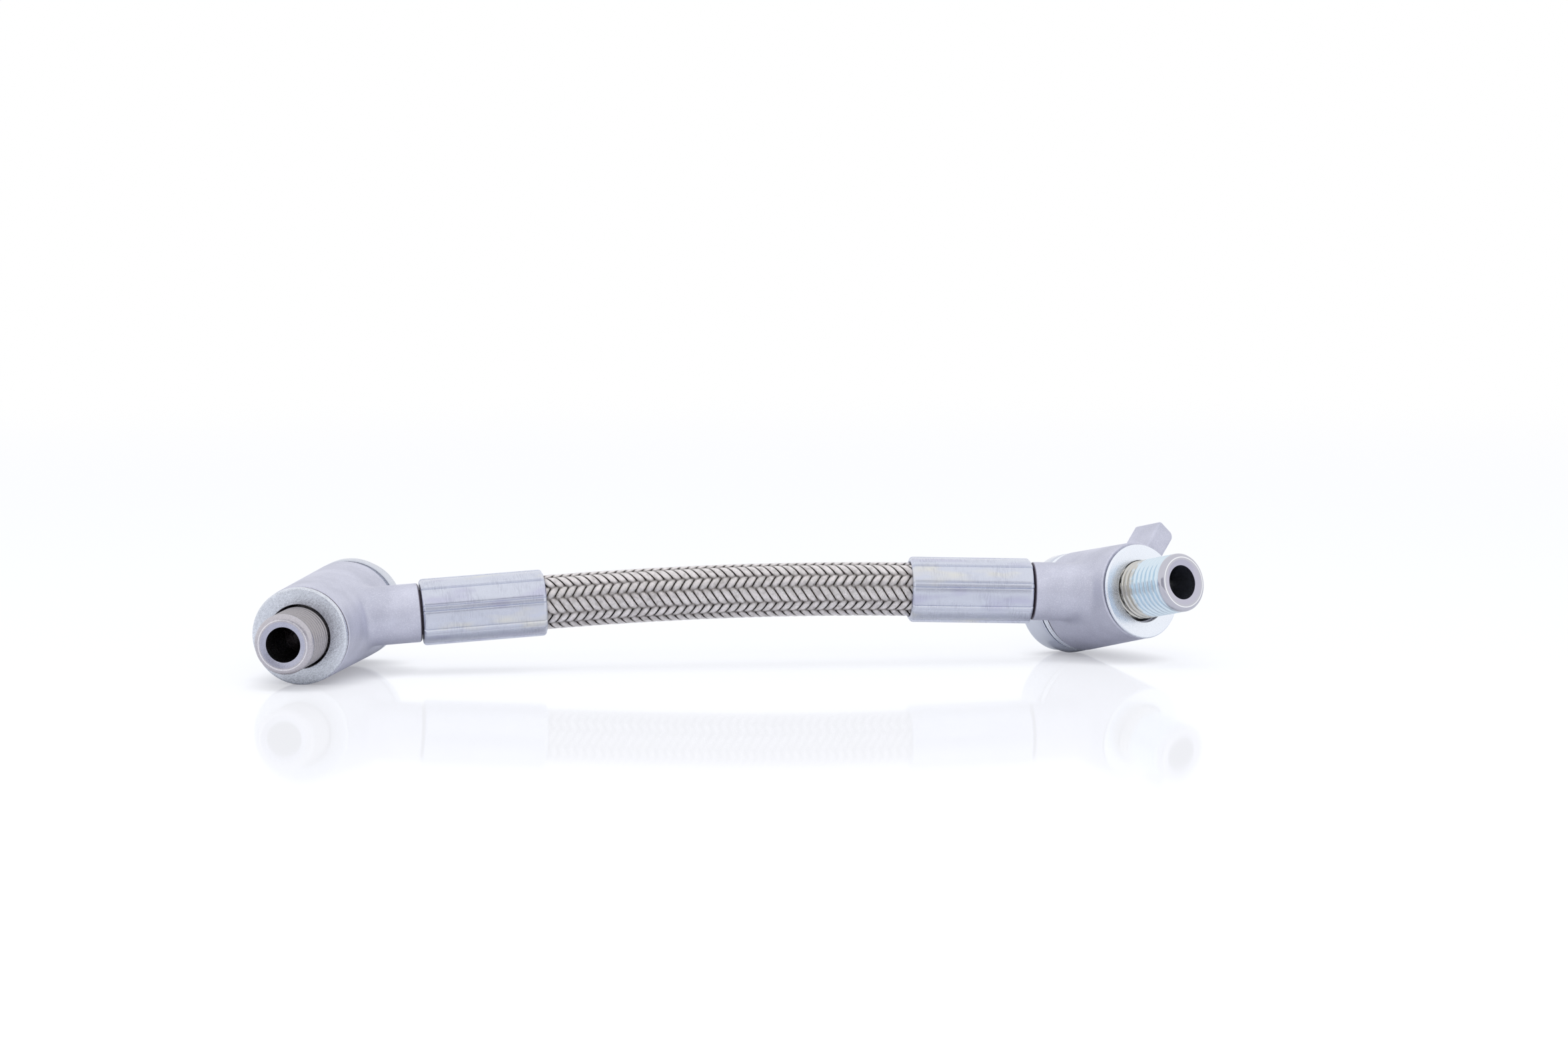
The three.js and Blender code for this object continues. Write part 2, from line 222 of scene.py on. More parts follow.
def combine(piece: bpy.types.Object, profile: Profile, segments: int, work: Work = Work.CUT,
            stand: Matrix | None = None) -> None:
    """Cuts a turned solid out of a piece, or joins it on.

    Args:
        piece: The solid that is changed.
        profile: The turned solid's profile, from its axis to its axis.
        segments: Facets round its axis.
        work: Whether it is cut out or joined on.
        stand: Where its axis stands, or None for the piece's own Z.
    """
    tool = make_object("tool", *turned(profile, segments, False))
    if stand is not None:
        tool.data.transform(stand)
    step = piece.modifiers.new("combine", "BOOLEAN")
    step.operation = work.value
    step.solver = "MANIFOLD"
    step.object = tool
    apply_modifiers(piece)
    bpy.data.objects.remove(tool, do_unlink=True)


def shade(piece: bpy.types.Object, angle: float) -> None:
    """Shades a mesh smooth, with sharp edges where two faces meet at more than an angle."""
    piece.data.polygons.foreach_set("use_smooth", [True] * len(piece.data.polygons))
    piece.data.set_sharp_from_angle(angle=math.radians(angle))


def dress(piece: bpy.types.Object, finish: bpy.types.Material, slot: str, *nodes: str) -> None:
    """Gives a finished piece its material, hangs it under the root and hides the solids that it replaces.

    Args:
        piece: The piece, in place.
        finish: Its material.
        slot: The record's material slot; not used.
        nodes: The solids that it replaces.
    """
    piece.data.materials.clear()
    piece.data.materials.append(finish)
    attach(piece, "root")
    if nodes:
        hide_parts(*nodes)
    log.info("%s: %d faces", piece.name, len(piece.data.polygons))


# Where the two ends stand


@dataclass(frozen=True)
class EndPlan:
    """The sizes that differ from one end of the line to the other.

    Attributes:
        side: Which end it is.
        bolt_reach: How far the bolt stands out of the barrel's front face.
        barrel_front: Diameter of the barrel's front.
        barrel_length: Length of the barrel.
        neck_setback: Where the neck's axis meets the bolt axis, behind the front face.
        neck_lean: How far the neck leans back.
        neck_side_step: How far the neck's axis passes beside the bolt axis.
        roll: Turn of the fitting about the bolt axis.
        ferrule_turn: Turn of the crimped ferrule about the neck.
        washer: Thickness of the front washer.
        washer_step: How far the front washer stands above the bolt axis.
        rear_washer: Diameter of the rear washer.
        face_step: Where the record's port face point lies above the bolt axis.
        has_lug: Whether the fitting has a lug.
    """

    side: Side
    bolt_reach: float
    barrel_front: float
    barrel_length: float
    neck_setback: float
    neck_lean: float
    neck_side_step: float
    roll: float
    ferrule_turn: float
    washer: float
    washer_step: float
    rear_washer: float
    face_step: float
    has_lug: bool

    def node(self, kind: str) -> str:
        """Returns the name of one of this end's solids."""
        return f"{kind}_{self.side.value}"

    @property
    def chamber(self) -> float:
        """Place of the oil chamber along the bolt axis."""
        return -self.neck_setback - math.tan(math.radians(self.neck_lean)) * FittingSizes.bore / 2

    @property
    def barrel_rear(self) -> float:
        """Place of the barrel's rear face."""
        return -self.barrel_length

    @property
    def rear_washer_front(self) -> float:
        """Place of the rear washer's front face."""
        return self.barrel_rear - SEAT_GAP

    @property
    def flange_front(self) -> float:
        """Place of the bolt flange's front face."""
        return self.rear_washer_front - WasherSizes.rear_thickness - SEAT_GAP


@dataclass(frozen=True)
class FittingSizes:
    """Sizes that both ring fittings share.

    Attributes:
        rear: Diameter of the barrel's rear end.
        bore: Diameter of the bolt's bore.
        chamfer: Bevel of the front face.
        chamber: Diameter of the oil chamber.
        chamber_length: Its length.
        neck: Diameter of the neck.
        neck_reach: How far it reaches from the bolt axis.
        collar: Diameter of the ferrule's seat.
        collar_length: Its length.
        nipple: Diameter of the nipple.
        nipple_bore: Diameter of its passage.
        nipple_inset: How far it ends inside the ferrule's mouth.
    """

    rear: float = 24.0
    bore: float = 14.8
    chamfer: float = 0.3
    chamber: float = 17.4
    chamber_length: float = 8.0
    neck: float = 13.9
    neck_reach: float = 22.5
    collar: float = 10.0
    collar_length: float = 3.0
    nipple: float = 8.0
    nipple_bore: float = 5.0
    nipple_inset: float = 3.0


@dataclass(frozen=True)
class WasherSizes:
    """Sizes of the sealing washers.

    Attributes:
        front: Diameter of the front washers.
        bore: Diameter of every washer's bore.
        rear_thickness: Thickness of the rear washers.
    """

    front: float = 22.6
    bore: float = 14.8
    rear_thickness: float = 1.5


@dataclass(frozen=True)
class FerruleSizes:
    """Sizes of the crimped ferrules.

    Attributes:
        length: Length of a ferrule.
        ridge: Diameter over the ribs.
        face: Diameter over the jaw faces.
        valley: Diameter at the ribs' feet.
        bore: Diameter of the bore.
        jaws: Jaw faces round it.
        start: Where it starts along the neck's axis.
        end: Where it ends.
    """

    length: float = 29.2
    ridge: float = 15.7
    face: float = 15.2
    valley: float = 14.9
    bore: float = 13.6
    jaws: int = 8
    start: float = FittingSizes.neck_reach + SEAT_GAP
    end: float = start + length


@dataclass(frozen=True)
class HoseSizes:
    """Sizes of the hose.

    Attributes:
        start: Where it starts along the neck's axis.
        outer: Its diameter.
        braid_bore: Inner diameter of the braid.
    """

    start: float = FittingSizes.neck_reach + FittingSizes.collar_length + SEAT_GAP
    outer: float = 13.0
    braid_bore: float = 11.2


LEFT_END = EndPlan(
    side=Side.LEFT, bolt_reach=14.8, barrel_front=22.8, barrel_length=35.8, neck_setback=17.1, neck_lean=20.3,
    neck_side_step=0.7, roll=2.8, ferrule_turn=-13, washer=2.0, washer_step=0.0, rear_washer=22.9,
    face_step=-9.0, has_lug=False,
)
RIGHT_END = EndPlan(
    side=Side.RIGHT, bolt_reach=15.9, barrel_front=23.2, barrel_length=21.3, neck_setback=5.6, neck_lean=30.2,
    neck_side_step=-0.2, roll=170.9, ferrule_turn=0, washer=0.9, washer_step=-0.35, rear_washer=23.8,
    face_step=9.0, has_lug=True,
)


@dataclass(frozen=True)
class Pose:
    """Where an end stands in the room, read from the record's port face.

    Attributes:
        plan: The end's sizes.
        matrix: Turns local millimetres into the room's millimetres.
    """

    plan: EndPlan
    matrix: Matrix

    @staticmethod
    def of(plan: EndPlan) -> Pose:
        """Works out an end's pose from its mount in the record.

        Args:
            plan: The end's sizes.

        Returns:
            The pose.
        """
        name = plan.node("port_face")
        mount = next(entry for entry in frame["record"]["mounts"] if entry["name"] == name)
        axis = Vector(mount["axis"]).normalized()
        across = Vector((0, 0, 1)).cross(axis).normalized()
        up = axis.cross(across)
        washer_face = SEAT_GAP + plan.washer
        origin = Vector(mount["pos_m"]) / MM - axis * washer_face - up * plan.face_step
        matrix = Matrix.Translation(origin) @ Matrix((across, up, axis)).transposed().to_4x4()
        return Pose(plan, matrix)

    @property
    def fitting(self) -> Matrix:
        """The ring fitting's own frame: turned about the bolt axis, its neck leaves along +X."""
        return self.matrix @ Matrix.Rotation(math.radians(self.plan.roll), 4, "Z")

    @property
    def neck(self) -> Matrix:
        """The neck's frame: its Z runs along the neck, away from the bolt axis."""
        lean = math.pi / 2 + math.radians(self.plan.neck_lean)
        root = Matrix.Translation((0, self.plan.neck_side_step, -self.plan.neck_setback))
        return self.fitting @ root @ Matrix.Rotation(lean, 4, "Y")

    def neck_point(self, distance: float) -> Vector:
        """Returns a point on the neck's axis, in the room's millimetres."""
        return self.neck @ Vector((0, 0, distance))


def place(piece: bpy.types.Object, matrix: Matrix) -> None:
    """Moves a mesh from a local frame in millimetres to its place in the room in metres."""
    piece.data.transform(Matrix.Scale(MM, 4) @ matrix)
    piece.data.update()


# Node trees, for finishes and for meshes


class Value:
    """A number that a node tree works out, which takes part in plain sums."""

    def __init__(self, tree: NodeTree, socket: bpy.types.NodeSocket) -> None:
        """Keeps the socket that gives the number."""
        self.tree = tree
        self.socket = socket

    def __add__(self, other: Number) -> Value:
        """Returns the sum of two numbers."""
        return self.tree.maths("ADD", self, other)

    def __sub__(self, other: Number) -> Value:
        """Returns this number less another."""
        return self.tree.maths("SUBTRACT", self, other)

    def __rsub__(self, other: float) -> Value:
        """Returns a plain number less this one."""
        return self.tree.maths("SUBTRACT", other, self)

    def __mul__(self, other: Number) -> Value:
        """Returns the product of two numbers."""
        return self.tree.maths("MULTIPLY", self, other)

    def __truediv__(self, other: Number) -> Value:
        """Returns this number over another."""
        return self.tree.maths("DIVIDE", self, other)

    def __rtruediv__(self, other: float) -> Value:
        """Returns a plain number over this one."""
        return self.tree.maths("DIVIDE", other, self)


Number = Value | float


class NodeTree:
    """A node tree while it is built."""

    def __init__(self, tree: bpy.types.NodeTree) -> None:
        """Takes up a tree."""
        self.tree = tree

    def feed(self, socket: bpy.types.NodeSocket, value: object) -> None:
        """Gives a socket a link or a plain value, where a colour may come without its alpha."""
        source = value.socket if isinstance(value, Value) else value
        if isinstance(source, bpy.types.NodeSocket):
            self.tree.links.new(source, socket)
        elif isinstance(source, tuple) and socket.type == "RGBA":
            socket.default_value = (*source, 1)
        elif source is not None:
            socket.default_value = source

    def add(self, kind: str, inputs: dict[str | int, object] | None = None, **settings) -> bpy.types.Node:
        """Adds a node.

        Args:
            kind: The node's type.
            inputs: What its input sockets take, by their names or numbers.
            **settings: Its properties.

        Returns:
            The node.
        """
        node = self.tree.nodes.new(kind)
        for name, setting in settings.items():
            setattr(node, name, setting)
        for key, value in (inputs or {}).items():
            self.feed(node.inputs[key], value)
        return node

    def value(self, kind: str, output: str | int, inputs: dict[str | int, object], **settings) -> Value:
        """Adds a node and returns one of its outputs as a number."""
        return Value(self, self.add(kind, inputs, **settings).outputs[output])

    def maths(self, operation: str, first: Number, second: Number | None = None) -> Value:
        """Returns the result of one sum on one or two numbers."""
        return self.value("ShaderNodeMath", 0, {0: first, 1: second}, operation=operation)

    def span(self, value: Number, low: Number, high: Number, to_low: float = 0.0,
             to_high: float = 1.0) -> Value:
        """Returns a number stretched smoothly from one range to another."""
        inputs = {"Value": value, "From Min": low, "From Max": high, "To Min": to_low, "To Max": to_high}
        return self.value("ShaderNodeMapRange", "Result", inputs, interpolation_type="SMOOTHSTEP")

    def parts(self, vector: bpy.types.NodeSocket) -> list[Value]:
        """Returns a vector's three parts."""
        return [Value(self, part) for part in self.add("ShaderNodeSeparateXYZ", {0: vector}).outputs]

    def ramp(self, value: Value, stops: list[tuple[float, Tone]]) -> bpy.types.NodeSocket:
        """Returns a colour that follows a number through the given stops."""
        node = self.add("ShaderNodeValToRGB", {"Fac": value})
        marks = node.color_ramp.elements
        while len(marks) < len(stops):
            marks.new(0.5)
        for mark, (at, colour) in zip(marks, stops):
            mark.position = at
            mark.color = (*colour, 1)
        return node.outputs["Color"]

    def mix(self, amount: Number, first: object, second: object) -> bpy.types.NodeSocket:
        """Returns a mix of two colours, each a socket or a plain tone."""
        inputs = {"Factor": amount, "A": first, "B": second}
        return self.add("ShaderNodeMix", inputs, data_type="RGBA").outputs["Result"]

    def blend(self, amount: Number, first: bpy.types.NodeSocket,
              second: bpy.types.NodeSocket) -> bpy.types.NodeSocket:
        """Returns a blend of two surfaces or two lights."""
        return self.add("ShaderNodeMixShader", {0: amount, 1: first, 2: second}).outputs[0]

    def glow(self, colour: object) -> bpy.types.NodeSocket:
        """Returns a surface that shines in a colour of its own."""
        return self.add("ShaderNodeEmission", {"Color": colour}).outputs[0]

    def rays(self, *kinds: str) -> Value:
        """Returns 1 for rays of the given kinds, such as Camera or Glossy, and 0 for all others."""
        path = self.add("ShaderNodeLightPath").outputs
        found, *others = [Value(self, path[f"Is {kind} Ray"]) for kind in kinds]
        for other in others:
            found = self.maths("MAXIMUM", found, other)
        return found

    @staticmethod
    def emptied(owner: bpy.types.Material | bpy.types.World) -> NodeTree:
        """Empties the node tree of a material or a world and takes it up."""
        owner.use_nodes = True
        owner.node_tree.nodes.clear()
        return NodeTree(owner.node_tree)


class Shader(NodeTree):
    """A material's node tree round a principled shader."""

    def __init__(self, name: str, metallic: float) -> None:
        """Starts a material.

        Args:
            name: The material's name.
            metallic: How much of it is bare metal.
        """
        self.material = bpy.data.materials.new(name)
        self.material.use_nodes = True
        super().__init__(self.material.node_tree)
        self.body = self.tree.nodes["Principled BSDF"]
        self.feed(self.body.inputs["Metallic"], metallic)
        self.place = self.add("ShaderNodeTexCoord").outputs["Object"]

    def mapped(self, matrix: Matrix | None = None, scale: Place = (1, 1, 1)) -> bpy.types.NodeSocket:
        """Returns object coordinates seen from a local frame.

        Args:
            matrix: The local frame in the room's millimetres, or None for the room itself.
            scale: Stretch of the pattern along each local axis.

        Returns:
            The vector socket, in metres.
        """
        place = self.place
        if matrix is not None:
            back = matrix.inverted()
            inputs = {"Vector": place, "Rotation": back.to_euler(), "Location": back.translation * MM}
            place = self.add("ShaderNodeMapping", inputs).outputs["Vector"]
        if scale != (1, 1, 1):
            place = self.add("ShaderNodeMapping", {"Vector": place, "Scale": scale}).outputs["Vector"]
        return place

    def noise(self, vector: bpy.types.NodeSocket, size: float, detail: float = 2.0,
              rough: float = 0.5) -> Value:
        """Returns noise whose blobs are about a size in millimetres across."""
        inputs = {"Vector": vector, "Scale": 1 / (size * MM), "Detail": detail, "Roughness": rough}
        return self.value("ShaderNodeTexNoise", "Fac", inputs)

    def cells(self, vector: bpy.types.NodeSocket, size: float) -> Value:
        """Returns the distance to the middle of random cells of a size in millimetres."""
        return self.value("ShaderNodeTexVoronoi", "Distance", {"Vector": vector, "Scale": 1 / (size * MM)})

    def lines(self, value: Value, size: float) -> Value:
        """Returns fine lines that follow one number, about a size in millimetres apart."""
        inputs = {"W": value, "Scale": 1 / (size * MM), "Detail": 3.0}
        return self.value("ShaderNodeTexNoise", "Fac", inputs, noise_dimensions="1D")

    def away(self, vector: bpy.types.NodeSocket) -> Value:
        """Returns the distance from the local frame's Z axis, in metres."""
        x, y, _ = self.parts(vector)
        return self.maths("SQRT", x * x + y * y)

    def rise(self, value: Value, low: float, high: float, top: float = 1.0) -> Value:
        """Returns a smooth step up from 0 between two places in millimetres."""
        return self.span(value, low * MM, high * MM, 0.0, top)

    def fall(self, value: Value, low: float, high: float) -> Value:
        """Returns a smooth step down from 1 to 0 between two places in millimetres."""
        return self.span(value, low * MM, high * MM, 1.0, 0.0)

    def bump(self, height: Value, strength: float, depth: float,
             normal: bpy.types.NodeSocket | None = None) -> bpy.types.NodeSocket:
        """Returns a normal bent by a height.

        Args:
            height: The height.
            strength: How much of the bump is used.
            depth: The height of 1, in millimetres.
            normal: Another bump's normal to add to.

        Returns:
            The normal's socket.
        """
        inputs = {"Strength": strength, "Distance": depth * MM, "Height": height, "Normal": normal}
        return self.add("ShaderNodeBump", inputs).outputs["Normal"]

    def finish(self, colour: bpy.types.NodeSocket, normal: bpy.types.NodeSocket,
               roughness: Number) -> bpy.types.Material:
        """Joins colour, bump and roughness to the shader and returns the material."""
        for name, value in (("Base Color", colour), ("Normal", normal), ("Roughness", roughness)):
            self.feed(self.body.inputs[name], value)
        return self.material


class FieldTree(NodeTree):
    """A geometry node tree with named inputs, which is run on a piece and leaves plain mesh."""

    def __init__(self, name: str) -> None:
        """Starts a tree with one geometry input and one geometry output."""
        tree = bpy.data.node_groups.new(name, "GeometryNodeTree")
        tree.is_modifier = True
        for way in ("INPUT", "OUTPUT"):
            tree.interface.new_socket("Geometry", in_out=way, socket_type="NodeSocketGeometry")
        super().__init__(tree)
        self.settings: dict[str, object] = {}
        self.source = self.add("NodeGroupInput")

    def inputs(self, wanted: dict[str, tuple[str, object]]) -> dict[str, Value]:
        """Adds named inputs and keeps what the modifier sets them to.

        Args:
            wanted: Each input's kind, such as Float, Int, Object or Material, and its value.

        Returns:
            The inputs, to work with or to feed to a node.
        """
        for name, (kind, value) in wanted.items():
            made = self.tree.interface.new_socket(name, in_out="INPUT", socket_type=f"NodeSocket{kind}")
            self.settings[made.identifier] = value
        return {name: Value(self, self.source.outputs[name]) for name in wanted}

    def scaled(self, vector: bpy.types.NodeSocket, amount: Value) -> bpy.types.NodeSocket:
        """Returns a vector times a number."""
        inputs = {0: vector, "Scale": amount}
        return self.add("ShaderNodeVectorMath", inputs, operation="SCALE").outputs[0]

    def vectors(self, operation: str, first: bpy.types.NodeSocket,
                second: bpy.types.NodeSocket) -> bpy.types.NodeSocket:
        """Returns one sum on two vectors."""
        return self.add("ShaderNodeVectorMath", {0: first, 1: second}, operation=operation).outputs[0]

    def close(self, geometry: bpy.types.NodeSocket, finish: Value) -> None:
        """Ends the tree: instances made real, the material set, and the output joined."""
        real = self.add("GeometryNodeRealizeInstances", {"Geometry": geometry}).outputs[0]
        cover = self.add("GeometryNodeSetMaterial", {"Geometry": real, "Material": finish})
        self.add("NodeGroupOutput", {"Geometry": cover.outputs["Geometry"]})

    def apply(self, piece: bpy.types.Object) -> None:
        """Runs the tree on a piece and keeps its result as plain mesh."""
        step = piece.modifiers.new(self.tree.name, "NODES")
        step.node_group = self.tree
        for identifier, setting in self.settings.items():
            step[identifier] = setting
        apply_modifiers(piece)


# Finishes


@dataclass(frozen=True)
class CastFinish:
    """Matte plated casting with a fine grain, painted glints on its bright grains and painted shade where it
    meets its neighbours.

    Attributes:
        name: The material's name.
        pose: Where the end stands.
        front_shade: How dark the painted shade line is at the front's edge against the washer.
        dark: Its darker tone.
        light: Its lighter tone.
        glint_tone: The tone of the bright grains, painted glints.
        rim: The tone of the painted shade at its rims, where it meets its neighbours.
        grain_size: Size of its grain in millimetres.
        grain_depth: Depth of its grain in millimetres.
    """

    name: str
    pose: Pose = field(hash=False)
    front_shade: float
    dark: Tone = (0.51, 0.52, 0.62)
    light: Tone = (0.63, 0.64, 0.75)
    glint_tone: Tone = (0.88, 0.88, 0.96)
    rim: Tone = (0.13, 0.11, 0.14)
    grain_size: float = 0.4
    grain_depth: float = 0.06

    def build(self) -> bpy.types.Material:
        """Returns the material."""
        shader = Shader(self.name, 0.7)
        at = shader.mapped()
        cloud = shader.noise(at, 9.0, 3.0)
        tone = shader.ramp(cloud, [(0.35, self.dark), (0.65, self.light)])
        grain = shader.noise(at, self.grain_size, 3.0, 0.7)
        # Painted glints: near-white specks on the grain, mixed into the colour.
        glint_spots = shader.span(shader.noise(at, 0.22), 0.5, 0.75, 0.0, 0.4)
        colour = shader.mix(glint_spots, tone, self.glint_tone)
        colour = shader.mix(shader.span(grain, 0.3, 0.7, 0.0, 0.25), colour, self.dark)
        # Painted shade: dark bands at the neck's end, along the front edge against the washer and at the rear
        # face.
        along = shader.parts(shader.mapped(self.pose.neck))[2]
        end = FittingSizes.neck_reach
        colour = shader.mix(shader.rise(along, end - 0.5, end - 0.15), colour, self.rim)
        height = shader.parts(shader.mapped(self.pose.fitting))[2]
        colour = shader.mix(shader.rise(height, -0.12, -0.02, self.front_shade), colour, self.rim)
        rear = self.pose.plan.barrel_rear
        colour = shader.mix(shader.rise(height, rear + 0.1, rear + 0.4), self.rim, colour)
        normal = shader.bump(grain, 0.8, self.grain_depth)
        return shader.finish(colour, normal, shader.span(grain, 0.3, 0.7, 0.42, 0.6))


@dataclass(frozen=True)
class CrimpFinish:
    """Zinc plated crimped sleeve with a faint colour play and fine marks across it.

    Attributes:
        name: The material's name.
        axis: The sleeve's own frame, its Z along the sleeve.
        cool: Its main tone.
        warm: The tone of its yellowish patches.
        violet: The tone of its violet patches.
        mark: The tone of the marks across it.
        speck: The tone of its specks.
    """

    name: str
    axis: Matrix = field(hash=False)
    cool: Tone = (0.64, 0.67, 0.77)
    warm: Tone = (0.73, 0.73, 0.71)
    violet: Tone = (0.56, 0.57, 0.71)
    mark: Tone = (0.26, 0.27, 0.36)
    speck: Tone = (0.12, 0.12, 0.13)

    def build(self) -> bpy.types.Material:
        """Returns the material."""
        shader = Shader(self.name, 0.92)
        at = shader.mapped(self.axis)
        tint = shader.noise(shader.mapped(self.axis, (1, 1, 0.35)), 4.5)
        tone = shader.ramp(tint, [(0.3, self.violet), (0.45, self.cool), (0.6, self.cool), (0.75, self.warm)])
        across = shader.noise(shader.mapped(self.axis, (0.16, 0.16, 1)), 0.3, 3.0, 0.6)
        patch = shader.span(shader.noise(at, 5.0), 0.4, 0.65, 0.04, 0.24)
        colour = shader.mix(shader.span(across, 0.35, 0.62, 1.0, 0.0) * patch, tone, self.mark)
        specks = shader.span(shader.cells(at, 1.9), 0.0, 0.06, 0.8, 0.0)
        colour = shader.mix(specks, colour, self.speck)
        normal = shader.bump(across, 0.5, 0.012)
        normal = shader.bump(shader.noise(at, 0.8, 3.0), 0.5, 0.02, normal)
        return shader.finish(colour, normal, shader.span(tint, 0.3, 0.7, 0.2, 0.32))


@dataclass(frozen=True)
class BoltFinish:
    """Plated bolt whose tone changes along its axis, with a painted highlight round its end and painted shade
    in its hollow and bore.

    Attributes:
        name: The material's name.
        axis: The bolt's own frame.
        inner: Tone of the turns by the washer.
        thread: Tone of the thread.
        tip: Tone of the end.
        dish: Tone of the hollow round the bore's mouth, darker and bluer than the end as painted shade.
        edge: Tone of the painted highlight round the end.
        highlight_radius: Radius of that painted highlight.
        rear: Tone of the flange and the head.
        turn_start: Where the thread's tone begins, from the barrel's face.
        tip_start: Where the end's tone begins.
        rear_end: Where the flange's tone ends.
        roughness: How matte it is.
        grain: How much its grain shows.
        depth: Tone of the bore, painted shade inside it.
        bore: Radius of the bore.
        dish_rim: Radius of the hollow round its mouth.
    """

    name: str
    axis: Matrix = field(hash=False)
    inner: Tone
    thread: Tone
    tip: Tone
    dish: Tone
    edge: Tone
    highlight_radius: float
    rear: Tone
    turn_start: float
    tip_start: float
    rear_end: float
    roughness: float
    grain: float
    depth: Tone
    bore: float = 4.15
    dish_rim: float = 5.3

    def end_tone(self, shader: Shader, away: Value) -> bpy.types.NodeSocket:
        """Returns the tone of the bolt's end, by the distance from its axis, with painted shade in the hollow
        and a painted highlight on the edge.
        """
        rim = shader.rise(away, self.dish_rim - 0.1, self.dish_rim + 0.2)
        # Painted shade: the hollow round the bore's mouth takes a darker tone than the end.
        tone = shader.mix(rim, self.dish, self.tip)
        # Painted highlight: a bright ring on the edge round the end.
        rising = shader.rise(away, self.highlight_radius - 0.2, self.highlight_radius)
        falling = shader.fall(away, self.highlight_radius, self.highlight_radius + 0.2)
        return shader.mix(rising * falling, tone, self.edge)

    def build(self) -> bpy.types.Material:
        """Returns the material."""
        shader = Shader(self.name, 0.95)
        at = shader.mapped(self.axis)
        z = shader.parts(at)[2]
        away = shader.away(at)
        cloud = shader.noise(at, 1.6, 3.0)
        height = z + (cloud - 0.5) * (2.5 * MM)
        to_thread = shader.rise(height, self.turn_start - 0.5, self.turn_start + 0.5)
        colour = shader.mix(to_thread, self.inner, self.thread)
        to_tip = shader.rise(z, self.tip_start - 0.1, self.tip_start + 0.1)
        colour = shader.mix(to_tip, colour, self.end_tone(shader, away))
        grain = shader.noise(at, 0.3, 3.0, 0.65)
        dark = tuple(0.6 * part for part in self.inner)
        colour = shader.mix(shader.span(grain, 0.35, 0.65, 0.25 * self.grain, 0.0), colour, dark)
        colour = shader.mix(shader.rise(z, self.rear_end, self.rear_end + 0.5), self.rear, colour)
        # Painted shade: the inside of the bore takes a dark tone.
        inside = shader.fall(away, self.bore - 0.15, self.bore)
        colour = shader.mix(inside * shader.maths("GREATER_THAN", z, 0.0), colour, self.depth)
        normal = shader.bump(grain, self.grain, 0.03)
        normal = shader.bump(shader.lines(away + z, 0.3), self.grain / 2, 0.01, normal)
        roughness = shader.span(cloud, 0.3, 0.7, 0.8 * self.roughness, 1.2 * self.roughness)
        return shader.finish(colour, normal, roughness)


@dataclass(frozen=True)
class WasherFinish:
    """Bright washer with grain, turned rings and light scratches.

    Attributes:
        name: The material's name.
        axis: The bolt's own frame.
        colour: Its tone.
        grain_depth: Depth of the grain in millimetres.
        grain_size: Size of the grain in millimetres.
        shade: How dark the grain's low places are.
        scratch_depth: Depth of the scratches and rings in millimetres.
    """

    name: str
    axis: Matrix = field(hash=False)
    colour: Tone
    grain_depth: float
    grain_size: float
    shade: float
    scratch_depth: float = 0.02

    def build(self) -> bpy.types.Material:
        """Returns the material."""
        shader = Shader(self.name, 0.97)
        at = shader.mapped(self.axis)
        grain = shader.noise(at, self.grain_size, 4.0, 0.65)
        low = tuple(self.shade * part for part in self.colour)
        colour = shader.ramp(grain, [(0.35, low), (0.65, self.colour)])
        cloud = shader.noise(at, 4.0)
        colour = shader.mix(shader.span(cloud, 0.35, 0.7, 0.25, 0.0), colour, low)
        slant = shader.mapped(Matrix.Rotation(0.7, 4, (0.3, 1, 0.2)), (1, 0.03, 1))
        scratches = shader.span(shader.noise(slant, 0.35, 1.0), 0.66, 0.72)
        normal = shader.bump(grain, 0.8, self.grain_depth)
        normal = shader.bump(shader.lines(shader.away(at), 0.35), 0.5, self.scratch_depth, normal)
        normal = shader.bump(scratches, 0.5, self.scratch_depth, normal)
        return shader.finish(colour, normal, shader.span(grain, 0.3, 0.7, 0.2, 0.34))


@dataclass(frozen=True)
class WireFinish:
    """Bright steel wire, duller here and there, with painted shade where a strand dives under another.

    Attributes:
        name: The material's name.
        light: Its bright tone.
        dull: Its dull tone.
        dive_shade: Its painted shade where a strand lies deepest.
    """

    name: str = "braided_steel"
    light: Tone = (0.90, 0.87, 0.88)
    dull: Tone = (0.60, 0.57, 0.57)
    dive_shade: Tone = (0.13, 0.11, 0.10)

    def build(self) -> bpy.types.Material:
        """Returns the material."""
        shader = Shader(self.name, 1.0)
        at = shader.mapped()
        cloud = shader.noise(at, 1.3, 3.0)
        colour = shader.ramp(cloud, [(0.2, self.dull), (0.5, self.light)])
        level = shader.value("ShaderNodeAttribute", "Fac", {}, attribute_name=LEVEL)
        # Painted shade: wires darken by the stored level, where the strand dives and at its outer wires.
        colour = shader.mix(shader.span(level, 0.05, 0.9), self.dive_shade, colour)
        normal = shader.bump(shader.noise(at, 0.12), 0.3, 0.004)
        return shader.finish(colour, normal, shader.span(cloud, 0.3, 0.7, 0.34, 0.22))


@dataclass(frozen=True)
class RubberFinish:
    """Smooth dark hose liner.

    Attributes:
        name: The material's name.
        dark: Its darker tone.
        light: Its lighter tone.
    """

    name: str = "liner_rubber"
    dark: Tone = (0.02, 0.018, 0.017)
    light: Tone = (0.045, 0.04, 0.038)

    def build(self) -> bpy.types.Material:
        """Returns the material."""
        shader = Shader(self.name, 0.0)
        grain = shader.noise(shader.mapped(), 0.5, 3.0)
        colour = shader.ramp(grain, [(0.3, self.dark), (0.7, self.light)])
        return shader.finish(colour, shader.bump(grain, 0.3, 0.02), 0.7)


# The pieces of one end


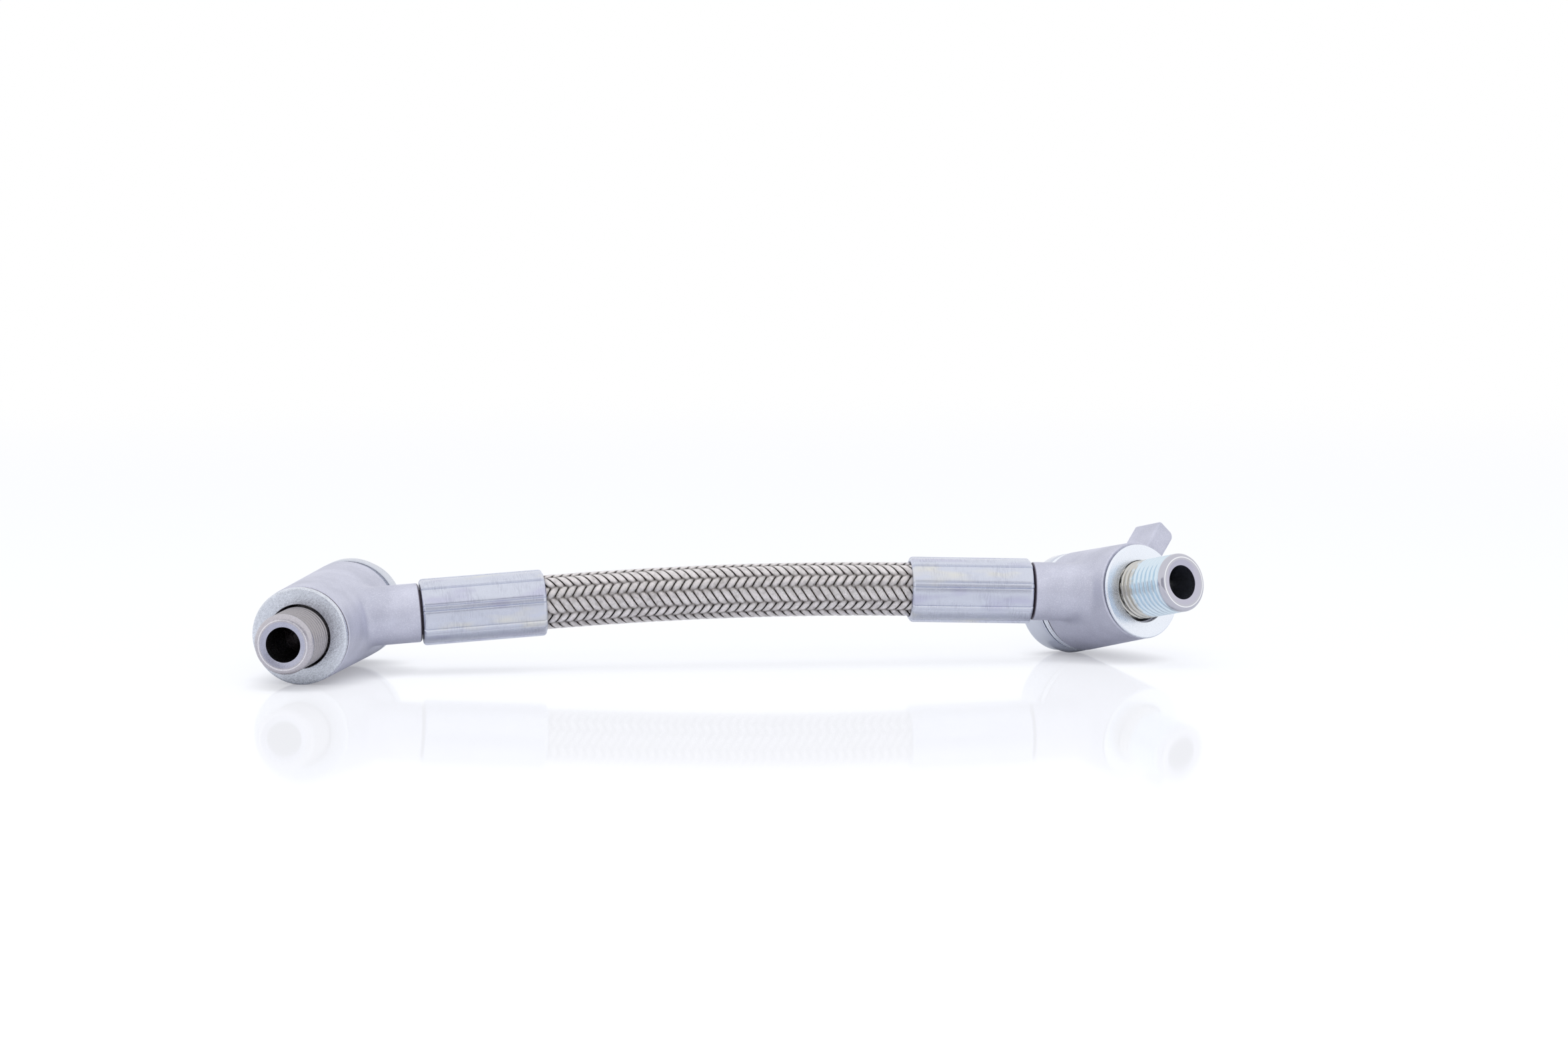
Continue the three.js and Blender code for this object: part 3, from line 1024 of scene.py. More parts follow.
@dataclass
class RingFitting:
    """A cast ring fitting: barrel, neck and, on one end, a lug, with soft fillets between them.

    Attributes:
        pose: Where the end stands.
        voxel: Size of the mesh's facets.
        neck_fillet: Size of the fillet at the neck's root.
        lug_fillet: Size of the fillet at the lug's root.
        lug_thickness: Thickness of the lug.
        lug_reach: How far it reaches from the bolt axis.
        lug_root: Where its rough block starts inside the barrel, from the bolt axis.
        lug_length: Its length along the barrel.
        lug_setback: How far it stands behind the barrel's front face.
        lug_angle: Where it stands round the barrel.
        lug_side_step: How far its middle passes beside the bolt axis.
        lug_far_corner: Rounding of its far corner.
        lug_edge: Rounding of its other edges.
        neck_edge: Rounding of the neck's end.
        rear_edge: Rounding of the barrel's rear end.
        front_spare: How far the rough barrel stands out before its front is cut.
        stem_root: How deep the nipple's stem starts inside the neck.
        tool_slack: How far the facing tool reaches past the barrel.
    """

    pose: Pose
    voxel: float = 0.36
    neck_fillet: float = 1.5
    lug_fillet: float = 1.4
    lug_thickness: float = 5.4
    lug_reach: float = 21.4
    lug_root: float = 5.0
    lug_length: float = 9.3
    lug_setback: float = 3.8
    lug_angle: float = -126.0
    lug_side_step: float = -0.7
    lug_far_corner: float = 1.6
    lug_edge: float = 0.6
    neck_edge: float = 0.55
    rear_edge: float = 0.45
    front_spare: float = 1.5
    stem_root: float = 4.5
    tool_slack: float = 0.4

    @staticmethod
    def capped(side: Points, ends: Points, edge: float) -> Points:
        """Joins the distance from a side wall and from the end faces, with a rounded edge."""
        wall = np.stack([side + edge, ends + edge])
        inside = np.minimum(wall.max(0), 0)
        return inside + np.linalg.norm(np.maximum(wall, 0), axis=0) - edge

    def barrel(self, points: Points) -> Points:
        """Distance to the barrel, which is longer at the front than the finished one."""
        length = self.pose.plan.barrel_length
        share = np.clip(-points[:, 2] / length, -0.1, 1)
        front = self.pose.plan.barrel_front
        radius = (front + (FittingSizes.rear - front) * share) / 2
        side = np.hypot(points[:, 0], points[:, 1]) - radius
        ends = np.maximum(points[:, 2] - self.front_spare, -length - points[:, 2])
        return self.capped(side, ends, self.rear_edge)

    def neck(self, points: Points) -> Points:
        """Distance to the neck."""
        plan = self.pose.plan
        lean = math.radians(plan.neck_lean)
        direction = np.array([math.cos(lean), 0, -math.sin(lean)])
        offset = points - np.array([0, plan.neck_side_step, -plan.neck_setback])
        along = offset @ direction
        side = np.linalg.norm(offset - along[:, None] * direction, axis=1) - FittingSizes.neck / 2
        ends = np.maximum(along - FittingSizes.neck_reach, -along)
        return self.capped(side, ends, self.neck_edge)

    def lug(self, points: Points) -> Points:
        """Distance to the lug."""
        turn = math.radians(-self.lug_angle)
        outward = points[:, 0] * math.cos(turn) - points[:, 1] * math.sin(turn)
        sideways = points[:, 0] * math.sin(turn) + points[:, 1] * math.cos(turn) - self.lug_side_step
        middle = self.lug_reach / 2
        corner = np.where(sideways < 0, self.lug_far_corner, self.lug_edge)
        corner = np.where(outward > middle, corner, self.lug_edge)
        reach = np.stack([np.abs(outward - middle) - middle + corner,
                          np.abs(sideways) - self.lug_thickness / 2 + corner])
        outline = np.minimum(reach.max(0), 0) + np.linalg.norm(np.maximum(reach, 0), axis=0) - corner
        centre = -self.lug_setback - self.lug_length / 2
        ends = np.abs(points[:, 2] - centre) - self.lug_length / 2
        return self.capped(outline, ends, self.lug_edge)

    def surface(self, points: Points) -> Points:
        """Distance to the whole casting, its parts joined by soft fillets."""
        distance = self.blend(self.barrel(points), self.neck(points), self.neck_fillet)
        if self.pose.plan.has_lug:
            distance = self.blend(distance, self.lug(points), self.lug_fillet)
        return distance

    @staticmethod
    def blend(first: Points, second: Points, fillet: float) -> Points:
        """Returns the smaller of two distances, with a fillet where they are alike."""
        near = np.maximum(fillet - np.abs(first - second), 0) / fillet
        return np.minimum(first, second) - near * near * fillet / 4

    def snap(self, points: Points, rounds: int = 4) -> Points:
        """Moves points on to the casting's surface, by a few short walks down its slope."""
        step, least = 0.02, 0.25
        for _ in range(rounds):
            here = self.surface(points)
            slope = np.stack([self.surface(points + step * axis) - here for axis in np.eye(3)], 1) / step
            steep = np.maximum((slope ** 2).sum(1), least)
            points = points - (here / steep)[:, None] * slope
        return points

    def rough(self) -> bpy.types.Object:
        """Makes the casting's rough shape as one skin of even facets."""
        plan = self.pose.plan
        length = plan.barrel_length
        front, rear = plan.barrel_front / 2, FittingSizes.rear / 2
        outline = [(0, -length), (rear, -length), (front, self.front_spare), (0, self.front_spare)]
        parts = [turned(outline, 48, False)]
        neck = FittingSizes.neck / 2
        stub = [(0, 0.0), (neck, 0.0), (neck, FittingSizes.neck_reach), (0, FittingSizes.neck_reach)]
        corners, faces = turned(stub, 40, False)
        inward = self.pose.fitting.inverted() @ self.pose.neck
        corners = np.array([inward @ Vector(corner) for corner in corners])
        parts.append((corners, faces))
        if plan.has_lug:
            parts.append(self.rough_lug())
        offset = 0
        all_corners, all_faces = [], []
        for corners, faces in parts:
            all_corners.append(corners)
            all_faces.extend(tuple(offset + index for index in face) for face in faces)
            offset += len(corners)
        piece = make_object(plan.node("casting"), np.concatenate(all_corners), all_faces)
        step = piece.modifiers.new("even", "REMESH")
        step.mode = "VOXEL"
        step.voxel_size = self.voxel
        apply_modifiers(piece)
        return piece

    def rough_lug(self) -> tuple[Points, Faces]:
        """Returns the lug's plain block."""
        half = self.lug_thickness / 2
        turn = Matrix.Rotation(math.radians(self.lug_angle), 4, "Z")
        lows = (self.lug_root, self.lug_side_step - half, -self.lug_setback - self.lug_length)
        highs = (self.lug_reach, self.lug_side_step + half, -self.lug_setback)
        corners = [turn @ Vector((x, y, z)) for x in (lows[0], highs[0])
                   for y in (lows[1], highs[1]) for z in (lows[2], highs[2])]
        faces = [(0, 1, 3, 2), (4, 6, 7, 5), (0, 4, 5, 1), (2, 3, 7, 6), (0, 2, 6, 4), (1, 5, 7, 3)]
        return np.array(corners), faces

    def settle(self, piece: bpy.types.Object) -> None:
        """Evens out the facets and lays them on the true surface."""
        edges = np.empty(2 * len(piece.data.edges), np.int32)
        piece.data.edges.foreach_get("vertices", edges)
        edges = edges.reshape(-1, 2)
        points = self.snap(corners_of(piece))
        count = np.bincount(edges.ravel(), minlength=len(points))[:, None]
        for _ in range(4):
            total = np.zeros_like(points)
            np.add.at(total, edges[:, 0], points[edges[:, 1]])
            np.add.at(total, edges[:, 1], points[edges[:, 0]])
            points = self.snap((points + total / count) / 2, 2)
        set_corners(piece, points)

    def face_front(self, piece: bpy.types.Object) -> None:
        """Cuts the front face with its bevel."""
        front, bevel = self.pose.plan.barrel_front / 2, FittingSizes.chamfer
        over = self.front_spare + 2
        outside = front + self.tool_slack
        faced = [(0, 0), (front - bevel, 0), (outside, -bevel - self.tool_slack), (outside, over), (0, over)]
        combine(piece, faced, 128)

    def bore_out(self, piece: bpy.types.Object) -> None:
        """Cuts the bolt's bore with the oil chamber."""
        plan = self.pose.plan
        bore, wide = FittingSizes.bore / 2, FittingSizes.chamber / 2
        low = plan.chamber - FittingSizes.chamber_length / 2
        high = plan.chamber + FittingSizes.chamber_length / 2
        hollow = [(0, plan.barrel_rear - 1), (bore, plan.barrel_rear - 1), (bore, low - 1), (wide, low),
                  (wide, high), (bore, high + 1), (bore, 1), (0, 1)]
        combine(piece, hollow, 96)

    def add_nipple(self, piece: bpy.types.Object) -> None:
        """Joins on the collar and the nipple, and drills the passage through them."""
        inward = self.pose.fitting.inverted() @ self.pose.neck
        end = FerruleSizes.end - FittingSizes.nipple_inset
        seat, crest = FittingSizes.collar / 2, FittingSizes.nipple / 2
        root, collar_end = FittingSizes.neck_reach - self.stem_root, HoseSizes.start - SEAT_GAP
        stem = [(0, root), (seat, root), (seat, collar_end), (crest, collar_end), (crest, end - 1),
                (crest - 0.5, end), (0, end)]
        combine(piece, stem, 48, Work.JOIN, inward)
        radius = FittingSizes.nipple_bore / 2
        combine(piece, [(0, 0), (radius, 0), (radius, end + 1), (0, end + 1)], 32, Work.CUT, inward)

    def build(self, finish: bpy.types.Material) -> None:
        """Makes the fitting and puts it in place."""
        piece = self.rough()
        self.settle(piece)
        self.face_front(piece)
        self.bore_out(piece)
        self.add_nipple(piece)
        shade(piece, 32)
        place(piece, self.pose.fitting)
        dress(piece, finish, "cast_steel", self.pose.plan.node("ring_fitting"))


@dataclass
class HollowBolt:
    """A hollow bolt with a real thread, a flange and a round head with a hexagon socket.

    Attributes:
        pose: Where the end stands.
        tip_round: Rounding of the end's outer corner.
        collar: Length of the plain end beyond the thread.
        thread_depth: Depth of the thread.
        crest: Outer diameter of the thread.
        pitch: Pitch of the thread.
        runout: Length over which the thread fades at its ends.
        flank: Where a groove begins and where it is deepest, as shares of half the pitch.
        bore: Diameter of the bore.
        dish: Width of the hollow round the bore's mouth.
        dish_depth: Its depth.
        waist: Diameter of the waist in the oil chamber.
        waist_length: Its length.
        cross_hole: Diameter of the cross holes.
        flange: Diameter of the flange.
        flange_thickness: Its thickness.
        head: Diameter of the head.
        head_height: Its height.
        head_edge: Rounding of its edge.
        socket: Width of the hexagon socket across its flats.
        socket_depth: Its depth.
        lead_in: Bevel of its mouth.
        thread_start: Where the thread starts, from the barrel's face.
        segments: Facets round the bolt.
        ring_step: Distance between the rings that carry the thread.
    """

    pose: Pose
    tip_round: float
    collar: float
    thread_depth: float
    crest: float = 13.9
    pitch: float = 1.5
    runout: float = 1.2
    flank: tuple[float, float] = (0.18, 0.86)
    bore: float = 8.1
    dish: float = 1.35
    dish_depth: float = 0.5
    waist: float = 11.6
    waist_length: float = 9.0
    cross_hole: float = 4.4
    flange: float = 24.0
    flange_thickness: float = 3.2
    head: float = 21.9
    head_height: float = 5.0
    head_edge: float = 1.3
    socket: float = 10.0
    socket_depth: float = 5.4
    lead_in: float = 0.8
    thread_start: float = -1.6
    segments: int = 120
    ring_step: float = 0.1

    @property
    def thread_end(self) -> float:
        """Place where the thread runs out towards the end."""
        return self.pose.plan.bolt_reach - self.collar

    def outline(self) -> Profile:
        """Returns the turned profile, with close rings where the thread is."""
        plan = self.pose.plan
        crest, waist, bore = self.crest / 2, self.waist / 2, self.bore / 2
        flange_front = plan.flange_front
        flange_rear = flange_front - self.flange_thickness
        head_rear = flange_rear - self.head_height
        low = plan.chamber - self.waist_length / 2
        high = plan.chamber + self.waist_length / 2
        slope = crest - waist
        reach = plan.bolt_reach
        stem = [
            Corner(0, head_rear),
            Corner(self.head / 2, head_rear, self.head_edge),
            Corner(self.head / 2, flange_rear, 0.2),
            Corner(self.flange / 2, flange_rear, 0.3),
            Corner(self.flange / 2, flange_front, 0.4),
            Corner(crest, flange_front, 0.2),
            Corner(crest, low - slope),
            Corner(waist, low),
            Corner(waist, high),
            Corner(crest, min(high + slope, self.thread_start - 0.2)),
            Corner(crest, self.thread_start),
        ]
        points = rounded(stem, False)
        rings = round((self.thread_end - self.thread_start) / self.ring_step)
        for k in range(1, rings + 1):
            points.append((crest, self.thread_start + (self.thread_end - self.thread_start) * k / rings))
        floor = plan.chamber - self.cross_hole
        tip = [
            Corner(crest, self.thread_end),
            Corner(crest, reach, self.tip_round),
            Corner(bore + self.dish, reach),
            Corner(bore, reach - self.dish_depth, 0.12),
            Corner(bore, floor),
            Corner(0, floor - bore / 2),
        ]
        return points + rounded(tip, False)[1:]

    def thread_tree(self, finish: bpy.types.Material) -> FieldTree:
        """Builds the tree that cuts a helical thread into a turned stem."""
        tree = FieldTree(self.pose.plan.node("thread"))
        given = tree.inputs({
            "Pitch": ("Float", self.pitch),
            "Depth": ("Float", self.thread_depth),
            "Start": ("Float", self.thread_start),
            "End": ("Float", self.thread_end),
            "Runout": ("Float", self.runout),
            "Core radius": ("Float", (self.crest + self.bore) / 4),
            "Finish": ("Material", finish),
        })
        start, end, runout = given["Start"], given["End"], given["Runout"]
        x, y, z = tree.parts(tree.add("GeometryNodeInputPosition").outputs[0])
        angle = tree.maths("ARCTAN2", y, x) / FULL_TURN
        phase = tree.maths("FRACT", z / given["Pitch"] - angle)
        cut = tree.span(tree.maths("ABSOLUTE", phase * 2.0 - 1.0), *self.flank)
        entry = tree.span(z, start, start + runout)
        leave = tree.span(z, end, end - runout)
        radius = tree.maths("SQRT", x * x + y * y)
        outside = tree.maths("GREATER_THAN", radius, given["Core radius"])
        amount = cut * given["Depth"] * outside * (entry * leave)
        shrink = (radius - amount) / tree.maths("MAXIMUM", radius, 0.01)
        place_now = tree.add("ShaderNodeCombineXYZ", {0: x * shrink, 1: y * shrink, 2: z}).outputs[0]
        inputs = {"Geometry": tree.source.outputs["Geometry"], "Position": place_now}
        move = tree.add("GeometryNodeSetPosition", inputs)
        tree.close(move.outputs["Geometry"], given["Finish"])
        return tree

    def cut_socket(self, piece: bpy.types.Object) -> None:
        """Cuts the hexagon socket with its lead-in."""
        rear = self.pose.plan.flange_front - self.flange_thickness - self.head_height
        corner = self.socket / 2 / math.cos(math.pi / 6)
        floor, lead = rear + self.socket_depth, rear + self.lead_in
        combine(piece, [(0, rear - 1), (corner, rear - 1), (corner, floor), (0, floor)], 6)
        combine(piece, [(0, rear - 1), (corner + 1, rear - 1), (corner, rear), (corner - self.lead_in, lead),
                        (0, lead)], 48)

    def cut_cross_holes(self, piece: bpy.types.Object) -> None:
        """Drills the two cross holes that let the oil into the bolt."""
        hole = self.cross_hole / 2
        through = [(0, -self.crest), (hole, -self.crest), (hole, self.crest), (0, self.crest)]
        for turn in (0.0, math.pi / 2):
            tilt = Matrix.Rotation(turn, 4, "Z") @ Matrix.Rotation(math.pi / 2, 4, "X")
            combine(piece, through, 24, Work.CUT, Matrix.Translation((0, 0, self.pose.plan.chamber)) @ tilt)

    def build(self, finish: bpy.types.Material) -> None:
        """Makes the bolt and puts it in place."""
        plan = self.pose.plan
        piece = make_object(plan.node("threaded_bolt"), *turned(self.outline(), self.segments, False))
        self.thread_tree(finish).apply(piece)
        self.cut_socket(piece)
        self.cut_cross_holes(piece)
        shade(piece, 38)
        place(piece, self.pose.matrix)
        slot = "grey_bolt" if plan.side is Side.LEFT else "blue_bolt"
        dress(piece, finish, slot, plan.node("hollow_bolt"))


@dataclass
class Washers:
    """The two sealing washers of one end, with rounded rims.

    Attributes:
        pose: Where the end stands.
        front_round: Rounding of the front washer's rim.
        rear_round: Rounding of the rear washer's rim.
        bore_round: Rounding of the edges of both bores.
    """

    pose: Pose
    front_round: float
    rear_round: float = 0.45
    bore_round: float = 0.2

    def ring(self, name: str, outer: float, low: float, high: float, rim: float) -> bpy.types.Object:
        """Makes one washer about the bolt axis."""
        bore = WasherSizes.bore / 2
        corners = [Corner(bore, low, self.bore_round), Corner(outer / 2, low, rim),
                   Corner(outer / 2, high, rim), Corner(bore, high, self.bore_round)]
        piece = make_object(name, *turned(rounded(corners, True), 128, True))
        shade(piece, 40)
        return piece

    def build(self, finish: bpy.types.Material) -> None:
        """Makes both washers and puts them in place."""
        plan = self.pose.plan
        top = SEAT_GAP + plan.washer
        front = self.ring(plan.node("sealing_washer"), WasherSizes.front, SEAT_GAP, top, self.front_round)
        front.data.transform(Matrix.Translation((0, plan.washer_step, 0)))
        place(front, self.pose.matrix)
        dress(front, finish, "washer_steel", plan.node("front_washer"))
        high = plan.rear_washer_front
        low = high - WasherSizes.rear_thickness
        rear = self.ring(plan.node("thin_washer"), plan.rear_washer, low, high, self.rear_round)
        place(rear, self.pose.matrix)
        dress(rear, finish, "washer_steel", plan.node("rear_washer"))


@dataclass
class Ferrule:
    """A crimped ferrule: jaw faces with narrow ribs between them and rolled ends.

    Attributes:
        pose: Where the end stands.
        rib_top: Half the angle of a rib's top.
        rib_foot: Half the angle between a rib's feet.
        groove: Half the angle where the groove beside a rib ends.
        edge: Rounding of the ends.
        edge_steps: Facets in that rounding.
        fade: How soon the ribs rise from the ends, where less is sooner.
        bore_edge: Bevel of the bore's mouth.
    """

    pose: Pose
    rib_top: float = 3.4
    rib_foot: float = 5.0
    groove: float = 6.6
    edge: float = 0.9
    edge_steps: int = 6
    fade: float = 0.25
    bore_edge: float = 0.15

    def section(self) -> tuple[Points, Points]:
        """Returns the angles round the ferrule and the radius at each."""
        jaw = 360 / FerruleSizes.jaws
        marks = [(0.0, FerruleSizes.ridge), (self.rib_top, FerruleSizes.ridge - 0.06),
                 (self.rib_foot, FerruleSizes.valley), (self.groove, FerruleSizes.face - 0.1),
                 (jaw / 2, FerruleSizes.face)]
        closer_by_the_rib = np.array([0, 0.5, 0.8, 1.0, 1.1, 1.35, 1.5, 1.8, 2.1, 2.9, 3.8, 5.0])
        offsets = closer_by_the_rib * self.rib_top
        offsets = np.append(offsets[offsets < jaw / 2 - 1], jaw / 2)
        offsets = np.concatenate([-offsets[:0:-1], offsets])[1:]
        at, diameters = zip(*marks)
        radii = np.interp(np.abs(offsets), at, diameters) / 2
        turns = np.concatenate([offsets + k * jaw for k in range(FerruleSizes.jaws)])
        return np.radians(turns), np.tile(radii, FerruleSizes.jaws)

    def rolled(self, radii: Points, rise: float, run: float) -> tuple[Points, float]:
        """Works out one row of a rolled end.

        Args:
            radii: The radii where the ferrule is at its full size.
            rise: How much of the rounding's height the row has reached.
            run: How much of its length lies between the row and the full size.

        Returns:
            The row's radii and its distance from the end.
        """
        mean = FerruleSizes.face / 2
        return mean + (radii - mean) * rise ** self.fade - self.edge * (1 - rise), self.edge * (1 - run)

    def build(self, finish: bpy.types.Material) -> None:
        """Makes the ferrule and puts it in place."""
        angles, radii = self.section()
        unit = np.stack([np.cos(angles), np.sin(angles)], 1)
        rows: list[Points] = []

        def ring(radius: Points | float, height: float) -> None:
            """Adds one row of corners."""
            rows.append(np.column_stack([unit * np.reshape(radius, (-1, 1)), np.full(len(unit), height)]))

        start, end = FerruleSizes.start, FerruleSizes.end
        turns = [math.pi / 2 * k / self.edge_steps for k in range(self.edge_steps + 1)]
        for turn in turns:
            rolled, inset = self.rolled(radii, math.sin(turn), math.cos(turn))
            ring(rolled, start + inset)
        for share in np.linspace(0, 1, 12)[1:-1]:
            ring(radii, start + self.edge + share * (end - start - 2 * self.edge))
        for turn in turns:
            rolled, inset = self.rolled(radii, math.cos(turn), math.sin(turn))
            ring(rolled, end - inset)
        bore = FerruleSizes.bore / 2
        collar_end = HoseSizes.start - SEAT_GAP
        collar_bore = FittingSizes.collar / 2 + SEAT_GAP
        inner = [(bore + self.bore_edge, end), (bore, end - self.bore_edge), (bore, collar_end),
                 (collar_bore, collar_end - SEAT_GAP), (collar_bore, start)]
        for radius, height in inner:
            ring(np.full(len(unit), radius), height)
        faces = band(len(rows), len(unit), True)
        piece = make_object(self.pose.plan.node("crimped_sleeve"), np.concatenate(rows), faces)
        piece.data.transform(Matrix.Rotation(math.radians(self.pose.plan.ferrule_turn), 4, "Z"))
        shade(piece, 50)
        place(piece, self.pose.neck)
        dress(piece, finish, "crimped_steel", self.pose.plan.node("ferrule"))


# The hose


@dataclass(frozen=True)
class WirePath:
    """Where the points of the wires lie, as numbers of a tree.

    Attributes:
        distance: Distance along the hose's middle line.
        angle: Turn round it.
        away: Distance from it.
        level: How high the wire lies in the weave, from 0 to 1, less at a strand's edges; it sets the wire's
            painted shade.
    """

    distance: Value
    angle: Value
    away: Value
    level: Value


@dataclass
class Hose:
    """The braided hose, bowed between the two ferrules.

    Attributes:
        left: Pose of the left end.
        right: Pose of the right end.
        strands: Strands of each hand.
        wires: Wires in a strand.
        wire: Diameter of a wire.
        spacing: Distance between two wires of a strand.
        pick: Distance along the hose between two strands of one hand.
        relief: How far a strand rises and sinks.
        crown: How far a strand's middle wires stand above its outer ones.
        zone_turn: Turn of the woven pattern about the hose.
        bias: How much longer one hand's strands lie on top than the other's.
        steepness: How quickly a strand goes over and under.
        edge_shade: How much painted shade darkens a strand's outer wires.
        inside: How far the woven strands reach into each ferrule.
        steps: Points along each wire.
        wire_sides: Facets round each wire.
        route_points: Points along the hose's middle line.
    """

    left: Pose
    right: Pose
    strands: int = 12
    wires: int = 6
    wire: float = 0.26
    spacing: float = 0.243
    pick: float = 2.14
    relief: float = 0.58
    crown: float = 0.08
    zone_turn: float = -11.0
    bias: float = 0.22
    steepness: float = 1.6
    edge_shade: float = 0.45
    inside: float = 3.0
    steps: int = 200
    wire_sides: int = 5
    route_points: int = 240

    def route(self) -> list[Vector]:
        """Returns the hose's middle line: straight in each ferrule, on one curve between them."""
        mouths = [pose.neck_point(FerruleSizes.end) for pose in (self.left, self.right)]
        pull = (mouths[1] - mouths[0]).length / 3
        leave = self.left.neck_point(FerruleSizes.end + pull)
        arrive = self.right.neck_point(FerruleSizes.end + pull)
        points = [self.left.neck_point(HoseSizes.start)]
        for k in range(self.route_points + 1):
            t = k / self.route_points
            u = 1 - t
            middle = leave * 3 * u * u * t + arrive * 3 * u * t * t
            points.append(mouths[0] * u ** 3 + middle + mouths[1] * t ** 3)
        points.append(self.right.neck_point(HoseSizes.start))
        return points

    def route_object(self, points: list[Vector]) -> bpy.types.Object:
        """Makes the middle line as a curve object for the strands to follow."""
        curve = bpy.data.curves.new("hose_route", "CURVE")
        curve.dimensions = "3D"
        line = curve.splines.new("POLY")
        line.points.add(len(points) - 1)
        for target, point in zip(line.points, points):
            target.co = (*(point * MM), 1)
        made = bpy.data.objects.new("hose_route", curve)
        bpy.context.scene.collection.objects.link(made)
        return made

    def strand_inputs(self, hand: Hand, route: bpy.types.Object, length: float,
                      finish: bpy.types.Material) -> dict[str, tuple[str, object]]:
        """Returns the inputs of a strand tree, in metres and radians.

        Args:
            hand: Which way the strands wind.
            route: The hose's middle line.
            length: Its length in millimetres.
            finish: The wire's material.

        Returns:
            Each input's kind and value.
        """
        inside = FerruleSizes.end - HoseSizes.start - self.inside
        middle = (HoseSizes.outer - self.relief - self.wire) / 2 - self.crown
        return {
            "Route": ("Object", route),
            "Strands": ("Int", self.strands),
            "Wires": ("Int", self.wires),
            "Steps": ("Int", self.steps),
            "Start": ("Float", inside * MM),
            "End": ("Float", (length - inside) * MM),
            "Radius": ("Float", middle * MM),
            "Relief": ("Float", self.relief / 2 * MM),
            "Crown": ("Float", self.crown * MM),
            "Lead": ("Float", self.pick * self.strands * MM),
            "Side": ("Float", float(hand.value)),
            "Zone turn": ("Float", math.radians(self.zone_turn)),
            "Bias": ("Float", self.bias),
            "Wire spacing": ("Float", self.spacing * MM),
            "Wire radius": ("Float", self.wire / 2 * MM),
            "Wire sides": ("Int", self.wire_sides),
            "Finish": ("Material", finish),
        }

    def wire_path(self, tree: FieldTree, given: dict[str, Value], number: Value) -> WirePath:
        """Works out where the wires' points lie round the hose.

        Args:
            tree: The tree.
            given: Its inputs.
            number: The number of the wire.

        Returns:
            The places.
        """
        strands, wires, radius = given["Strands"], given["Wires"], given["Radius"]
        side, turn, lead = given["Side"], given["Zone turn"], given["Lead"]
        strand = tree.maths("FLOOR", (number + 0.25) / wires)
        place_in = number - strand * wires - (wires - 1.0) / 2.0
        offset = place_in * given["Wire spacing"]
        factor = tree.value("GeometryNodeSplineParameter", "Factor", {})
        along = given["Start"] + factor * (given["End"] - given["Start"])
        lean = tree.maths("ARCTANGENT", radius * FULL_TURN / lead)
        distance = along + offset * tree.maths("SINE", lean)
        first = strand / strands * FULL_TURN + turn + (1.0 - side) * 0.5 * (math.pi / strands)
        wind = along * FULL_TURN / lead
        narrow = offset * tree.maths("COSINE", lean) / radius
        angle = first + side * (wind - narrow)
        wave = tree.maths("SINE", (angle - turn) * (strands / 2.0)) + given["Bias"]
        over = tree.maths("TANH", wave * self.steepness) * (1.0 / math.tanh(self.steepness))
        bow = place_in / (wires / 2.0)
        away = radius + (over * side * given["Relief"] + given["Crown"] * (1.0 - bow * bow))
        # The level carries the painted shade: low where a strand dives and at its outer wires.
        level = over * side * 0.5 + 0.5 - bow * bow * self.edge_shade
        return WirePath(distance, angle, away, level)

    @staticmethod
    def spot(tree: FieldTree, route: Value, path: WirePath) -> bpy.types.NodeSocket:
        """Returns the wires' points, found from their places round the hose's middle line."""
        line = tree.add("GeometryNodeObjectInfo", {"Object": route}, transform_space="ORIGINAL")
        inputs = {"Curve": line.outputs["Geometry"]}
        upright = tree.add("GeometryNodeSetCurveNormal", inputs, mode="Z_UP").outputs["Curve"]
        inputs = {"Curves": upright, "Length": path.distance}
        sample = tree.add("GeometryNodeSampleCurve", inputs, mode="LENGTH").outputs
        front = sample["Normal"]
        above = tree.vectors("CROSS_PRODUCT", front, sample["Tangent"])
        sideways = tree.maths("COSINE", path.angle) * (path.away * -1.0)
        upwards = tree.maths("SINE", path.angle) * path.away
        spot = tree.vectors("ADD", sample["Position"], tree.scaled(front, sideways))
        return tree.vectors("ADD", spot, tree.scaled(above, upwards))

    def strand_tree(self, hand: Hand, inputs: dict[str, tuple[str, object]]) -> FieldTree:
        """Builds the tree that lays one hand's strands along the hose."""
        tree = FieldTree(f"strands_{hand.name.lower()}_hand")
        given = tree.inputs(inputs)
        base = tree.add("GeometryNodeCurvePrimitiveLine").outputs["Curve"]
        fine = tree.add("GeometryNodeResampleCurve", {"Curve": base, "Count": given["Steps"]})
        amount = given["Strands"] * given["Wires"]
        each = {"Geometry": fine.outputs["Curve"], "Amount": amount}
        copies = tree.add("GeometryNodeDuplicateElements", each, domain="SPLINE").outputs
        path = self.wire_path(tree, given, Value(tree, copies["Duplicate Index"]))
        spot = self.spot(tree, given["Route"], path)
        each = {"Name": LEVEL, "Geometry": copies["Geometry"], "Value": path.level}
        kept = tree.add("GeometryNodeStoreNamedAttribute", each, data_type="FLOAT", domain="POINT")
        laid = tree.add("GeometryNodeSetPosition", {"Geometry": kept.outputs["Geometry"], "Position": spot})
        each = {"Resolution": given["Wire sides"], "Radius": given["Wire radius"]}
        ring = tree.add("GeometryNodeCurvePrimitiveCircle", each, mode="RADIUS").outputs["Curve"]
        each = {"Curve": laid.outputs["Geometry"], "Profile Curve": ring, "Fill Caps": True}
        tree.close(tree.add("GeometryNodeCurveToMesh", each).outputs["Mesh"], given["Finish"])
        return tree

